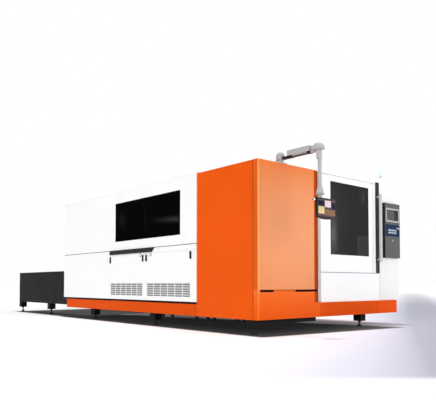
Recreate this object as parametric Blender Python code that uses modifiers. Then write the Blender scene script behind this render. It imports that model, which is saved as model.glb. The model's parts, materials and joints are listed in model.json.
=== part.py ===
"""Fiber laser cutting machine with a closed body and a two-level sheet exchange table.

Metres, +Z up. The operator's front faces -Y and the exchange table stands at +Y.
The origin is on the floor, under the middle of the machine's bounding box.
Sizes across and along are measured from the body's front left corner, see at().
"""
import math

import bmesh
import bpy
from mathutils import Matrix, Vector

# General sizes
GAP = 0.0003
OVERRUN = 0.02
WELD = 0.00001
SHEET = 0.0025
FOLD_RADIUS = 0.003
SEAM_HEIGHT = 0.010
SEAM_DEPTH = 0.012
GROOVE_WIDTH = 0.004
GROOVE_DEPTH = 0.0012
ROUND_STEPS = 24
SMALL_ROUND_STEPS = 16

# Body
BODY_WIDTH = 3.220
BODY_LENGTH = 5.655
WHITE_TOP = 2.305
ORANGE_TOP = 2.280
SKIN_PROUD = 0.015
WALL_DEPTH = 0.030
RIGHT_OVERHANG = 0.130
RIGHT_WALL_LAP = 0.030
ROOF_DEPTH = 0.030
CABINET_LENGTH = 1.2575
CABINET_INSET = 0.085
COVER_DEPTH = 0.0915
SIDE_SEAM = 3.780
SEAM_LINE = 1.258

# Skirt round the base
SKIRT_BOTTOM = 0.198
SKIRT_TOP = 0.401
SKIRT_LENGTH = 5.553
SKIRT_DEPTH = 0.030
RIGHT_SKIRT_DEPTH = 0.120
FRONT_SKIRT_SEAM = 2.646

# Orange front cover, in two parts with an air slot between them
FASCIA_WIDTH = 1.235
BEVEL_WIDTH = 0.125
BEVEL_DEPTH = 0.033
FASCIA_CORNER_RADIUS = 0.010
FASCIA_CORNER_STEPS = 4
SLOT_BOTTOM = 0.557
SLOT_TOP = 0.588
SLOT_START = 0.042
TONGUE_START_SHARE = 0.232
TONGUE_END_SHARE = 0.585
TONGUE_SET_BACK = 0.010

# Cabinet behind the cover
CABINET_BOTTOM = 0.420

# Sliding front door
DOOR_PLANE = 0.037
DOOR_LAP = 0.085
DOOR_END = 2.6847
DOOR_BOTTOM = 0.8393
DOOR_TOP = 2.270
DOOR_DEPTH = 0.029
WINDOW_LEFT = 1.531
WINDOW_RIGHT = 2.495
WINDOW_BOTTOM = 1.098
WINDOW_TOP = 2.181
PANE_LAP = 0.025
PANE_THICKNESS = 0.006
STRIP_WIDTH = 0.105
STRIP_DEPTH = 0.024
HANDLE_RADIUS = 0.021
HANDLE_BOTTOM = 1.010
HANDLE_TOP = 2.110
HANDLE_STAND_OFF = 0.064
HANDLE_POST_RADIUS = 0.013
HANDLE_POST_INSET = 0.045
TRACK_HEIGHT = 0.040
TRACK_DEPTH = 0.0245
TRACK_START = 0.006

# Right front column and the right side
COLUMN_DEPTH = 0.400

# Left side walls and windows
SIDE_WINDOW_START = 1.648
SIDE_WINDOW_END = 3.578
SIDE_WINDOW_BOTTOM = 1.408
SIDE_WINDOW_TOP = 2.087
PANE_JOINT = 0.003

# Service doors, their louvres and their latches
SERVICE_DOOR_SEAM = 2.620
SERVICE_DOOR_TOP = 1.166
HEADER_BOTTOM = 1.168
LOUVRE_BOTTOM = 0.464
LOUVRE_TOP = 0.673
LOUVRE_END_MARGIN = 0.045
LOUVRE_SEAM_MARGIN = 0.065
LOUVRE_FRONT_MARGIN = 0.139
LOUVRE_ROWS = 6
LOUVRE_COLUMNS = 6
LOUVRE_OPEN_SHARE = 0.42
LOUVRE_BRIDGE = 0.018
LATCH_WIDTH = 0.030
LATCH_HEIGHT = 0.112
LATCH_RADIUS = 0.008
LATCH_PIVOT_UP = 1.137
LATCH_END_INSET = 0.038
LATCH_SEAM_INSET = 0.052
LATCH_FRONT_INSET = 0.127
TRIM_LEAD = 0.282
TRIM_END_INSET = 0.020
TRIM_BOTTOM = 1.180
TRIM_SLANT = 0.074
TRIM_THICKNESS = 0.015

# Rear wall with the pallets' passage
PASSAGE_BOTTOM = 0.440
PASSAGE_TOP = 1.120
PASSAGE_SIDE_ROOM = 0.030

# Control console on the right column
CONSOLE_LEFT = 2.880
CONSOLE_RIGHT = 3.315
CONSOLE_BOTTOM = 1.091
CONSOLE_TOP = 1.987
CONSOLE_DEPTH = 0.050
CONSOLE_WALL = 0.010
SCREEN_BOTTOM = 1.679
SCREEN_TOP = 1.906
SCREEN_SIDE_MARGIN = 0.012
SCREEN_FRAME = 0.026
SCREEN_PROUD = 0.004
SCREEN_RECESS = 0.003
KEYPAD_BOTTOM = 1.446
KEYPAD_TOP = 1.638
KEYPAD_THICKNESS = 0.003
KEY_SIZE = 0.026
KEY_PITCH = 0.036
KEY_RISE = 0.0012
KEY_ROWS = 3
KEY_COLUMNS = 4
BUTTON_RADIUS = 0.013
BUTTON_RISE = 0.008
BUTTON_STEM = 0.010
BUTTON_TRAVEL_ROOM = 0.005
BUTTON_INSET = 0.048
BUTTON_UP = 1.581
FLAP_BOTTOM = 1.120
FLAP_TOP = 1.436
FLAP_THICKNESS = 0.012
FLAP_ROOM = 0.0015
LOCK_RADIUS = 0.007
LOCK_PROUD = 0.002
LOCK_DROP = 0.069

# Signal lamp on the roof
LAMP_ACROSS = 2.935
LAMP_ALONG = 0.100
LAMP_POLE_RADIUS = 0.012
LAMP_POLE_FOOT_RADIUS = 0.024
LAMP_POLE_FOOT_HEIGHT = 0.008
LAMP_COLLAR_RADIUS = 0.025
LAMP_COLLAR_HEIGHT = 0.012
LAMP_BOTTOM = 2.424
LAMP_TOP = 2.535
LAMP_RADIUS = 0.023

# Swinging arm that carries the hanging monitor
SWIVEL_ACROSS = 0.510
SWIVEL_ALONG = 0.080
ARM_REACH = 0.673
ARM_PLATE_LEFT = 0.160
ARM_PLATE_RIGHT = 0.045
ARM_PLATE_BACK = 0.060
ARM_PLATE_EDGE = 0.002
ARM_PLATE_THICKNESS = 0.014
ARM_NECK_RADIUS = 0.042
HUB_LIFT = 0.060
HUB_RADIUS = 0.058
HUB_HEIGHT = 0.110
ARM_BAR_LIFT = 0.001
ARM_BAR_HEIGHT = 0.026
ARM_BAR_WIDTH = 0.044
ARM_BOX_START = 0.148
ARM_BOX_END = 0.534
ARM_BOX_HEIGHT = 0.072
ARM_BOX_WIDTH = 0.068
ELBOW_TOP = 2.452
ELBOW_HOOD_BOTTOM = 2.362
ELBOW_HOOD_LENGTH = 0.208
ELBOW_HOOD_WIDTH = 0.112
ELBOW_HOOD_BACK = 0.027
ELBOW_NECK_RADIUS = 0.035
ELBOW_NECK_BACK = 0.010
ELBOW_BOTTOM = 2.250
CLAMP_RADIUS = 0.004
CLAMP_REACH = 0.072
CLAMP_RISE = 0.012
TUBE_RADIUS = 0.025
TUBE_BOTTOM = 1.928
BELL_RADIUS = 0.048
BELL_BOTTOM = 1.800
FLANGE_RADIUS = 0.058
FLANGE_THICKNESS = 0.008

# Hanging monitor
MONITOR_AHEAD = 0.107
MONITOR_THICKNESS = 0.034
MONITOR_WIDTH = 0.364
MONITOR_BOTTOM = 1.486
MONITOR_TOP = 1.727
MONITOR_CHIN = 0.020
MONITOR_FRAME = 0.012
MONITOR_NECK_RADIUS = 0.027
MONITOR_RECESS = 0.004
MONITOR_GLASS = 0.003
YOKE_HALF_WIDTH = 0.032
YOKE_BEHIND = 0.030
YOKE_BOTTOM = 1.610
KNOB_STEM_RADIUS = 0.006
KNOB_STEM_LENGTH = 0.030
KNOB_RADIUS = 0.012
KNOB_LENGTH = 0.032
KNOB_DROP = 0.031

# Base frame and levelling feet
BED_CENTRE = 1.250
BEAM_WIDTH = 0.120
BEAM_TOP = 0.375
BEAM_HEIGHT = 0.150
UNDERFRAME_START = 0.0925
UNDERFRAME_END = 5.540
UNDERFRAME_ROOM = 0.001
CROSS_BEAM_WIDTH = 0.120
CROSS_BEAM_HEIGHT = 0.140
TOE_BEAM_BOTTOM = 0.135
TOE_BEAM_END = 1.250
BRACKET_SIZE = 0.133
BRACKET_BOTTOM = 0.085
BRACKET_LAP = 0.030
FOOT_SHARES = (0.0005, 0.4217, 0.7980)
LUG_SHARES = (0.038, 0.060, 0.148, 0.174, 0.220, 0.332, 0.378)
LUG_LENGTH = 0.045
LUG_WIDTH = 0.030
LUG_BOTTOM = 0.150
PAD_RADIUS = 0.048
PAD_HEIGHT = 0.014
PAD_NECK_RADIUS = 0.022
PAD_NECK_HEIGHT = 0.022
STUD_RADIUS = 0.013
NUT_RADIUS = 0.024
NUT_HEIGHT = 0.018

# Machine bed, rails and pallet ledges
BED_START = 1.300
BED_END = 5.450
BED_TOP = 1.050
BED_HALF_WIDTH = 1.090
BED_WALL = 0.240
BED_CROSS_WIDTH = 0.120
BED_CROSS_HEIGHT = 0.085
BED_CROSS_COUNT = 4
LEDGE_REACH = 0.055
LEDGE_THICKNESS = 0.020
UPPER_LEDGE = 0.800
LOWER_LEDGE = 0.500
RAIL_HALF_GAUGE = 0.965
RAIL_WIDTH = 0.030
RAIL_HEIGHT = 0.035
RAIL_WAIST = 0.005
RAIL_END_INSET = 0.050

# Gantry and cutting head, drawn where they park
GANTRY_ALONG = 1.840
GANTRY_BEAM_DEPTH = 0.260
GANTRY_BEAM_BOTTOM = 1.200
GANTRY_BEAM_TOP = 1.480
GANTRY_BEAM_SLOPE = 0.080
GANTRY_OVERHANG = 0.085
SHOE_WIDTH = 0.110
SHOE_LENGTH = 0.420
SHOE_LIFT = 0.006
BEAM_RAIL_WIDTH = 0.022
BEAM_RAIL_PROUD = 0.020
BEAM_RAIL_INSET = 0.060
CARRIAGE_WIDTH = 0.240
CARRIAGE_DEPTH = 0.080
CARRIAGE_BOTTOM = 1.215
CARRIAGE_TOP = 1.600
CARRIAGE_FOLD_RADIUS = 0.008
HEAD_PLATE_WIDTH = 0.120
HEAD_PLATE_THICKNESS = 0.020
HEAD_PLATE_BOTTOM = 1.300
HEAD_PLATE_TOP = 1.560
HEAD_OFFSET = 0.060
HEAD_RADIUS = 0.048
HEAD_CAP_RADIUS = 0.034
HEAD_TOP = 1.640
HEAD_BODY_TOP = 1.590
HEAD_BODY_BOTTOM = 1.250
HEAD_CONE_BOTTOM = 1.110
HEAD_COLLAR_RADIUS = 0.030
NOZZLE_RADIUS = 0.014
NOZZLE_TIP_RADIUS = 0.005
NOZZLE_TIP = 1.040

# Pallets
PALLET_LENGTH = 3.040
PALLET_IN_START = 1.600
PALLET_OUT_END = 8.360
PALLET_SIDE_ROOM = 0.065
PALLET_BEAM_WIDTH = 0.060
PALLET_BEAM_HEIGHT = 0.060
PALLET_BEAM_UP = 0.015
WHEEL_RADIUS = 0.030
WHEEL_SIDE_ROOM = 0.006
WHEEL_END_INSET = 0.120
WHEEL_COUNT = 4
SLAT_COUNT = 21
SLAT_THICKNESS = 0.006
SLAT_BOTTOM_UP = 0.052
SLAT_HEIGHT = 0.072
TOOTH_HEIGHT = 0.024
TOOTH_COUNT = 12

# Exchange table
TABLE_END = 8.420
TABLE_HALF_WIDTH = 1.150
TABLE_BOTTOM = 0.238
TABLE_TOP = 0.938
TABLE_WALL = 0.300
TABLE_END_PLATE = 0.030
TABLE_CROSS_WIDTH = 0.100
TABLE_CROSS_HEIGHT = 0.080
TABLE_CROSS_SHARES = (0.016, 0.486)
TABLE_SEAM = 6.288
TABLE_BRACKET_BOTTOM = 0.112
TABLE_BRACKET_START = 6.618

# Frame: the machine's bounding box is centred on the origin
LEFT_REACH = SKIN_PROUD + GAP + 2 * LATCH_RADIUS
RIGHT_REACH = BODY_WIDTH + RIGHT_OVERHANG
FRONT_REACH = ARM_REACH - SWIVEL_ALONG + MONITOR_AHEAD
LEFT = (LEFT_REACH - RIGHT_REACH) / 2
FRONT = (FRONT_REACH - TABLE_END) / 2

# Places that several pieces share
WALL_TOP = WHITE_TOP - ROOF_DEPTH - GAP
TRIM_START = SERVICE_DOOR_SEAM - TRIM_LEAD
TRIM_END = SIDE_SEAM - TRIM_END_INSET
HUB_BOTTOM = ORANGE_TOP + HUB_LIFT
HUB_TOP = HUB_BOTTOM + HUB_HEIGHT
ARM_BAR_BOTTOM = HUB_BOTTOM + ARM_BAR_LIFT
BEVEL_START = FASCIA_WIDTH - BEVEL_WIDTH
CABINET_WIDTH = FASCIA_WIDTH - CABINET_INSET
DOOR_START = FASCIA_WIDTH - DOOR_LAP
UNDERFRAME_HALF_WIDTH = BED_CENTRE - SKIRT_DEPTH - UNDERFRAME_ROOM
WALL_INNER = WALL_DEPTH - SKIN_PROUD
COLUMN_START = DOOR_END + GAP + STRIP_WIDTH + GAP
DOOR_BACK = DOOR_PLANE + DOOR_DEPTH
STRIP_START = DOOR_END + GAP
TUBE_ALONG = SWIVEL_ALONG - ARM_REACH
BED_INNER = BED_HALF_WIDTH - BED_WALL
PALLET_HALF_WIDTH = BED_INNER - PALLET_SIDE_ROOM
CONSOLE_FRONT = DOOR_PLANE - GAP - CONSOLE_DEPTH
GANTRY_FACE = GANTRY_ALONG - GANTRY_BEAM_DEPTH / 2
CARRIAGE_FACE = GANTRY_FACE - GAP - CARRIAGE_DEPTH
HEAD_PLATE_FACE = CARRIAGE_FACE - GAP - HEAD_PLATE_THICKNESS
HEAD_ALONG = HEAD_PLATE_FACE - HEAD_OFFSET

# Directions of a pan's open side
TO_LEFT = Vector((-1, 0, 0))
TO_RIGHT = Vector((1, 0, 0))
TO_BACK = Vector((0, 1, 0))
TO_FLOOR = Vector((0, 0, -1))

for old in list(bpy.data.objects):
    bpy.data.objects.remove(old, do_unlink=True)

MODEL = bpy.data.collections.new("fiber_laser_cutting_machine")
TOOLS = bpy.data.collections.new("cutters")
bpy.context.scene.collection.children.link(MODEL)
bpy.context.scene.collection.children.link(TOOLS)


def paint(name, colour, roughness, metallic=0.0):
    """A Principled material of one colour."""
    finish = bpy.data.materials.new(name)
    finish.use_nodes = True
    shader = finish.node_tree.nodes["Principled BSDF"]
    shader.inputs["Base Color"].default_value = (*colour, 1.0)
    shader.inputs["Roughness"].default_value = roughness
    shader.inputs["Metallic"].default_value = metallic
    return finish


ORANGE_COLOUR = (0.87, 0.10, 0.008)
WHITE_COLOUR = (0.85, 0.86, 0.87)
BLACK_COLOUR = (0.012, 0.012, 0.013)
CHARCOAL_COLOUR = (0.030, 0.030, 0.032)
GREY_COLOUR = (0.13, 0.13, 0.135)
ALUMINIUM_COLOUR = (0.55, 0.56, 0.58)
STEEL_COLOUR = (0.42, 0.43, 0.45)
GLASS_COLOUR = (0.010, 0.010, 0.012)
BLUE_COLOUR = (0.015, 0.05, 0.13)
LAMP_COLOUR = (0.30, 0.90, 0.95)


def at(across, along, up):
    """A point measured from the body's front left corner on the floor."""
    return Vector((LEFT + across, FRONT + along, up))


def link(name, mesh, finish, place=Vector()):
    """Put a mesh in the model, or among the cutters if it has no finish."""
    item = bpy.data.objects.new(name, mesh)
    item.location = place
    if finish is None:
        TOOLS.objects.link(item)
        item.hide_render = True
        item.display_type = 'WIRE'
    else:
        MODEL.objects.link(item)
        mesh.materials.append(finish)
    return item


def blocks(name, corners, finish):
    """Boxes given by their low and high corners, as one object."""
    shape = bmesh.new()
    middle = (corners[0][0] + corners[0][1]) / 2
    for low, high in corners:
        cube = bmesh.ops.create_cube(shape, size=1)["verts"]
        bmesh.ops.scale(shape, vec=high - low, verts=cube)
        bmesh.ops.translate(shape, vec=(low + high) / 2 - middle, verts=cube)
    mesh = bpy.data.meshes.new(name)
    shape.to_mesh(mesh)
    shape.free()
    return link(name, mesh, finish, middle)


def block(name, low, high, finish=None):
    """One box between two corners."""
    return blocks(name, [(low, high)], finish)


def as_mesh(drawn, finish):
    """Turn a curve object into a welded mesh object of the same name and place."""
    name = drawn.name
    bpy.context.view_layer.update()
    ready = drawn.evaluated_get(bpy.context.evaluated_depsgraph_get())
    mesh = bpy.data.meshes.new_from_object(ready)
    shape = bmesh.new()
    shape.from_mesh(mesh)
    bmesh.ops.remove_doubles(shape, verts=shape.verts, dist=WELD)
    bmesh.ops.recalc_face_normals(shape, faces=shape.faces)
    shape.to_mesh(mesh)
    shape.free()
    mesh.materials.clear()
    turn = drawn.matrix_world.copy()
    bpy.data.objects.remove(drawn, do_unlink=True)
    item = link(name, mesh, finish)
    item.name = name
    item.matrix_world = turn
    return item


def prism(name, outline, axis, low, high, finish=None):
    """A flat outline, filled, that reaches from low to high along one axis.

    The outline is (across, up) along Y, (along, up) along X and (across, along) along Z.
    """
    curve = bpy.data.curves.new(name, 'CURVE')
    curve.dimensions = '2D'
    curve.fill_mode = 'BOTH'
    curve.extrude = (high - low) / 2
    spline = curve.splines.new('POLY')
    spline.points.add(len(outline) - 1)
    for point, (first, second) in zip(spline.points, outline):
        point.co = (first, second, 0, 1)
    spline.use_cyclic_u = True
    drawn = bpy.data.objects.new(name, curve)
    TOOLS.objects.link(drawn)
    middle = (low + high) / 2
    if axis == 'X':
        drawn.matrix_world = Matrix.Translation(at(middle, 0, 0)) @ Matrix(
            ((0, 0, 1, 0), (1, 0, 0, 0), (0, 1, 0, 0), (0, 0, 0, 1)))
    elif axis == 'Y':
        drawn.matrix_world = Matrix.Translation(at(0, middle, 0)) @ Matrix(
            ((1, 0, 0, 0), (0, 0, -1, 0), (0, 1, 0, 0), (0, 0, 0, 1)))
    else:
        drawn.matrix_world = Matrix.Translation(at(0, 0, middle))
    return as_mesh(drawn, finish)


def turned(name, profile, axis_place, finish=None, steps=ROUND_STEPS):
    """A profile of (radius, height) from its top to its bottom, turned round the Z axis."""
    mesh = bpy.data.meshes.new(name)
    points = [(radius, 0, height) for radius, height in profile]
    edges = [(index, index + 1) for index in range(len(points) - 1)]
    mesh.from_pydata(points, edges, [])
    item = link(name, mesh, finish, axis_place)
    screw = item.modifiers.new("turn", 'SCREW')
    screw.steps = steps
    screw.render_steps = steps
    screw.use_merge_vertices = True
    screw.merge_threshold = WELD
    screw.use_smooth_shade = True
    return item


def disc(radius, bottom, top):
    """The profile of a plain cylinder."""
    return [(0, top), (radius, top), (radius, bottom), (0, bottom)]


def rod(name, start, end, radius, finish=None, steps=SMALL_ROUND_STEPS):
    """A straight round bar between two points."""
    shape = bmesh.new()
    length = (end - start).length
    turn = (end - start).to_track_quat('Z', 'Y').to_matrix().to_4x4()
    bmesh.ops.create_cone(shape, cap_ends=True, segments=steps, radius1=radius,
                          radius2=radius, depth=length, matrix=turn)
    mesh = bpy.data.meshes.new(name)
    shape.to_mesh(mesh)
    shape.free()
    smooth(mesh)
    return link(name, mesh, finish, (start + end) / 2)


def smooth(mesh):
    """Shade round faces smooth and keep the edges sharp."""
    mesh.shade_smooth()
    mesh.set_sharp_from_angle(angle=math.radians(35))


def open_side(item, direction):
    """Take away the faces on the outermost plane towards one direction."""
    shape = bmesh.new()
    shape.from_mesh(item.data)
    turn = item.matrix_world.to_3x3() if item.data.users else Matrix.Identity(3)
    reach = max((turn @ vert.co).dot(direction) for vert in shape.verts)
    outer = [face for face in shape.faces
             if (turn @ face.calc_center_median()).dot(direction) > reach - WELD]
    bmesh.ops.delete(shape, geom=outer, context='FACES')
    shape.to_mesh(item.data)
    shape.free()


def chamfer(item):
    """Take the sharp edges off a folded piece, outside."""
    bend = item.modifiers.new("fold", 'BEVEL')
    bend.width = FOLD_RADIUS
    bend.segments = 1
    bend.limit_method = 'ANGLE'


def fold(item):
    """Chamfer the folded edges, then give the sheet its thickness inwards."""
    chamfer(item)
    thicken(item)


def thicken(item):
    """Give an open sheet its thickness inwards."""
    thick = item.modifiers.new("sheet", 'SOLIDIFY')
    thick.thickness = SHEET
    thick.offset = -1
    thick.use_even_offset = True


def pan(name, low, high, direction, finish):
    """A folded sheet cover: a box without the side that faces one direction."""
    item = block(name, low, high, finish)
    open_side(item, direction)
    fold(item)
    return item


def boolean(item, other, operation):
    """Cut a piece with another, or weld the other to it."""
    step = item.modifiers.new(operation.lower(), 'BOOLEAN')
    step.operation = operation
    step.solver = 'EXACT'
    step.object = other


def cut(item, *others):
    for other in others:
        boolean(item, other, 'DIFFERENCE')


def weld(item, *others):
    for other in others:
        boolean(item, other, 'UNION')


def soften(item, radius, segments=2):
    """Round the edges of a solid piece."""
    edge = item.modifiers.new("edges", 'BEVEL')
    edge.width = radius
    edge.segments = segments
    edge.limit_method = 'ANGLE'


def world_place(item):
    """An unrotated object's place in the world, up its chain of parents."""
    place = item.location.copy()
    if item.parent is not None:
        place += world_place(item.parent)
    return place


def pivot(name, place, parent=None):
    """An empty on a joint's axis, which its moving pieces hang from."""
    empty = bpy.data.objects.new(name, None)
    MODEL.objects.link(empty)
    empty.location = place
    if parent is not None:
        empty.parent = parent
        empty.location = place - world_place(parent)
    return empty


def hang(empty, *items):
    """Parent pieces to an empty and leave them where they are."""
    for item in items:
        item.parent = empty
        item.location = item.location - world_place(empty)


def keep_place(empty, *items):
    """Parent turned pieces to an empty and leave them where they are."""
    for item in items:
        keep = item.matrix_world.copy()
        item.parent = empty
        item.matrix_parent_inverse = Matrix.Translation(-world_place(empty))
        item.matrix_basis = keep


def spread(first, last, count):
    """Evenly spaced values from first to last."""
    return [first + (last - first) * index / (count - 1) for index in range(count)]


def both_sides(half_width):
    """The two places across that lie a half width from the bed's centre."""
    return (BED_CENTRE - half_width, BED_CENTRE + half_width)


def span(first, second):
    """Two numbers in rising order."""
    return min(first, second), max(first, second)


def foot_profile(bracket_bottom):
    """A levelling foot: pad, neck, stud and the nut that locks it under its bracket."""
    nut_top = bracket_bottom - GAP
    nut_bottom = nut_top - NUT_HEIGHT
    neck_top = PAD_HEIGHT + PAD_NECK_HEIGHT
    return [(0, nut_top), (NUT_RADIUS, nut_top), (NUT_RADIUS, nut_bottom),
            (STUD_RADIUS, nut_bottom), (STUD_RADIUS, neck_top), (PAD_NECK_RADIUS, neck_top),
            (PAD_NECK_RADIUS, PAD_HEIGHT), (PAD_RADIUS, PAD_HEIGHT), (PAD_RADIUS, 0), (0, 0)]


def underframe(finish):
    """The welded base: two long beams, cross beams, a toe beam and the feet's brackets."""
    left, right = both_sides(UNDERFRAME_HALF_WIDTH)
    beam_bottom = BEAM_TOP - BEAM_HEIGHT
    base = block("underframe", at(left, UNDERFRAME_START, beam_bottom),
                 at(left + BEAM_WIDTH, UNDERFRAME_END, BEAM_TOP), finish)
    weld(base, block("right_beam", at(right - BEAM_WIDTH, UNDERFRAME_START, beam_bottom),
                     at(right, UNDERFRAME_END, BEAM_TOP)))
    reach = BODY_WIDTH - RIGHT_SKIRT_DEPTH - GAP
    inset = (BEAM_HEIGHT - CROSS_BEAM_HEIGHT) / 2
    places = [UNDERFRAME_START + CROSS_BEAM_WIDTH] + bed_cross_places()
    for number, along in enumerate(places):
        weld(base, block(f"cross_beam_{number}",
                         at(left + OVERRUN, along - CROSS_BEAM_WIDTH / 2, beam_bottom + inset),
                         at(reach, along + CROSS_BEAM_WIDTH / 2, BEAM_TOP - inset)))
    weld(base, block("toe_beam", at(left + OVERRUN, UNDERFRAME_START + GAP, TOE_BEAM_BOTTOM),
                     at(TOE_BEAM_END, UNDERFRAME_START + CROSS_BEAM_WIDTH,
                        beam_bottom + OVERRUN)))
    for side, edge in enumerate(bracket_edges()):
        for number, along in enumerate(foot_places()):
            weld(base, block(f"bracket_{side}_{number}", at(edge, along, BRACKET_BOTTOM),
                             at(edge + BRACKET_SIZE, along + BRACKET_SIZE,
                                beam_bottom + BRACKET_LAP)))
    length = UNDERFRAME_END - UNDERFRAME_START
    for number, share in enumerate(LUG_SHARES):
        along = UNDERFRAME_START + length * share
        weld(base, block(f"lug_{number}", at(left + GAP, along, LUG_BOTTOM),
                         at(left + LUG_WIDTH, along + LUG_LENGTH, beam_bottom + OVERRUN)))
    return base


def bed_cross_places():
    """Where the bed's cross members lie, which is also where the base carries them."""
    return spread(BED_START + BED_CROSS_WIDTH, BED_END - BED_CROSS_WIDTH, BED_CROSS_COUNT)


def foot_places():
    """Where the feet's brackets start along the base."""
    length = UNDERFRAME_END - UNDERFRAME_START
    return [UNDERFRAME_START + length * share for share in FOOT_SHARES]


def bracket_edges():
    """Where the feet's brackets start across, on the left and on the right."""
    left, right = both_sides(UNDERFRAME_HALF_WIDTH - GAP)
    return left, right - BRACKET_SIZE


def levelling_feet(finish):
    number = 0
    for edge in bracket_edges():
        for along in foot_places():
            number += 1
            turned(f"levelling_foot_{number}", foot_profile(BRACKET_BOTTOM),
                   at(edge + BRACKET_SIZE / 2, along + BRACKET_SIZE / 2, 0), finish,
                   SMALL_ROUND_STEPS)


def ledges(item, name, start, end, inner):
    """Weld the two levels of pallet ledges inside both side walls."""
    levels = (UPPER_LEDGE, LOWER_LEDGE)
    for level, up in enumerate(levels):
        for side, sign in enumerate((-1, 1)):
            wall_side = BED_CENTRE + sign * (inner + OVERRUN)
            free_side = BED_CENTRE + sign * (inner - LEDGE_REACH)
            low, high = span(wall_side, free_side)
            weld(item, block(f"{name}_ledge_{level}_{side}",
                             at(low, start + GAP, up - LEDGE_THICKNESS),
                             at(high, end - GAP, up)))


def machine_bed(finish):
    """The welded bed: two box walls, cross members and the pallets' ledges."""
    bottom = BEAM_TOP + GAP
    outer_left, outer_right = both_sides(BED_HALF_WIDTH)
    inner_left, inner_right = both_sides(BED_INNER)
    bed = block("machine_bed", at(outer_left, BED_START, bottom),
                at(inner_left, BED_END, BED_TOP), finish)
    weld(bed, block("bed_right_wall", at(inner_right, BED_START, bottom),
                    at(outer_right, BED_END, BED_TOP)))
    for number, along in enumerate(bed_cross_places()):
        weld(bed, block(f"bed_cross_{number}",
                        at(inner_left - OVERRUN, along - BED_CROSS_WIDTH / 2, bottom + GAP),
                        at(inner_right + OVERRUN, along + BED_CROSS_WIDTH / 2,
                           bottom + BED_CROSS_HEIGHT)))
    ledges(bed, "bed", BED_START, BED_END, BED_INNER)
    return bed


def rail(name, centre, finish):
    """A linear guide rail with waisted sides."""
    half = RAIL_WIDTH / 2
    waist = half - RAIL_WAIST
    bottom = BED_TOP + GAP
    third = RAIL_HEIGHT / 3
    top = bottom + RAIL_HEIGHT
    outline = [(centre - half, bottom), (centre + half, bottom), (centre + half, bottom + third),
               (centre + waist, top - third), (centre + half, top - third / 2),
               (centre + half, top), (centre - half, top), (centre - half, top - third / 2),
               (centre - waist, top - third), (centre - half, bottom + third)]
    return prism(name, outline, 'Y', BED_START + RAIL_END_INSET, BED_END - RAIL_END_INSET, finish)


def skirts(finish):
    """The orange plates round the base."""
    top = SKIRT_TOP
    front = pan("skirt_front", at(FASCIA_WIDTH + GAP, 0, SKIRT_BOTTOM),
                at(BODY_WIDTH, COVER_DEPTH, top), TO_BACK, finish)
    cut(front, block("front_skirt_groove", at(FRONT_SKIRT_SEAM, -OVERRUN, SKIRT_BOTTOM - OVERRUN),
                     at(FRONT_SKIRT_SEAM + GROOVE_WIDTH, GROOVE_DEPTH, top + OVERRUN)))
    left = pan("skirt_left", at(0, CABINET_LENGTH + GAP, SKIRT_BOTTOM),
               at(SKIRT_DEPTH, SKIRT_LENGTH, top), TO_RIGHT, finish)
    cut(left, block("left_skirt_groove", at(-OVERRUN, SIDE_SEAM, SKIRT_BOTTOM - OVERRUN),
                    at(GROOVE_DEPTH, SIDE_SEAM + GROOVE_WIDTH, top + OVERRUN)))
    pan("skirt_right", at(BODY_WIDTH - RIGHT_SKIRT_DEPTH, COVER_DEPTH + GAP, SKIRT_BOTTOM),
        at(BODY_WIDTH, SKIRT_LENGTH, top), TO_LEFT, finish)


def fascia_outline(right_depth, inset):
    """The cover's section seen from above, or its hollow's, which lies inset from it.

    The left corner is rounded. The front falls back to right_depth at the right edge. The
    back end runs past the cover's, to be trimmed or to leave the hollow open.
    """
    centre = FASCIA_CORNER_RADIUS
    radius = FASCIA_CORNER_RADIUS - inset
    back = COVER_DEPTH + OVERRUN + inset
    outline = [(inset, back)]
    for turn in range(FASCIA_CORNER_STEPS + 1):
        angle = math.pi / 2 * turn / FASCIA_CORNER_STEPS
        outline.append((centre - radius * math.cos(angle), centre - radius * math.sin(angle)))
    right = FASCIA_WIDTH - inset
    if right_depth:
        right = FASCIA_WIDTH + OVERRUN + inset
        outline += bevel_line(inset, right)
    else:
        outline.append((right, inset))
    outline.append((right, back))
    return outline


def bevel_line(inset, right):
    """The start and end of the bevelled front, seen from above, at an inset from its face."""
    angle = math.atan2(BEVEL_DEPTH, BEVEL_WIDTH)
    rise = inset / math.cos(angle)
    return [(BEVEL_START - inset * math.tan(angle / 2), inset),
            (right, rise + (right - BEVEL_START) * math.tan(angle))]


def trim_back(cover, low, high):
    """Cut a cover off flat at its open back."""
    cut(cover, block(f"{cover.name}_back", at(-OVERRUN, COVER_DEPTH, low - OVERRUN),
                     at(FASCIA_WIDTH + OVERRUN * 2, COVER_DEPTH + OVERRUN * 2, high + OVERRUN)))


def fascia_upper(finish):
    """The tall orange cover, open at the back and at its right end for the door."""
    bottom = SLOT_TOP
    cover = prism("fascia_upper", fascia_outline(BEVEL_DEPTH, 0), 'Z', bottom - OVERRUN, ORANGE_TOP,
                  finish)
    chamfer(cover)
    cut(cover, prism("upper_hollow", fascia_outline(BEVEL_DEPTH, SHEET), 'Z',
                     bottom - OVERRUN * 2, ORANGE_TOP - SHEET))
    cut(cover, block("upper_foot", at(-OVERRUN, -OVERRUN, bottom - OVERRUN * 2),
                     at(FASCIA_WIDTH + OVERRUN * 2, COVER_DEPTH + OVERRUN * 2, bottom)))
    cut(cover, block("upper_right_end", at(FASCIA_WIDTH, -OVERRUN, bottom - OVERRUN * 2),
                     at(FASCIA_WIDTH + OVERRUN * 2, COVER_DEPTH + OVERRUN * 2,
                        ORANGE_TOP + OVERRUN)))
    trim_back(cover, bottom, ORANGE_TOP)
    return cover


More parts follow.
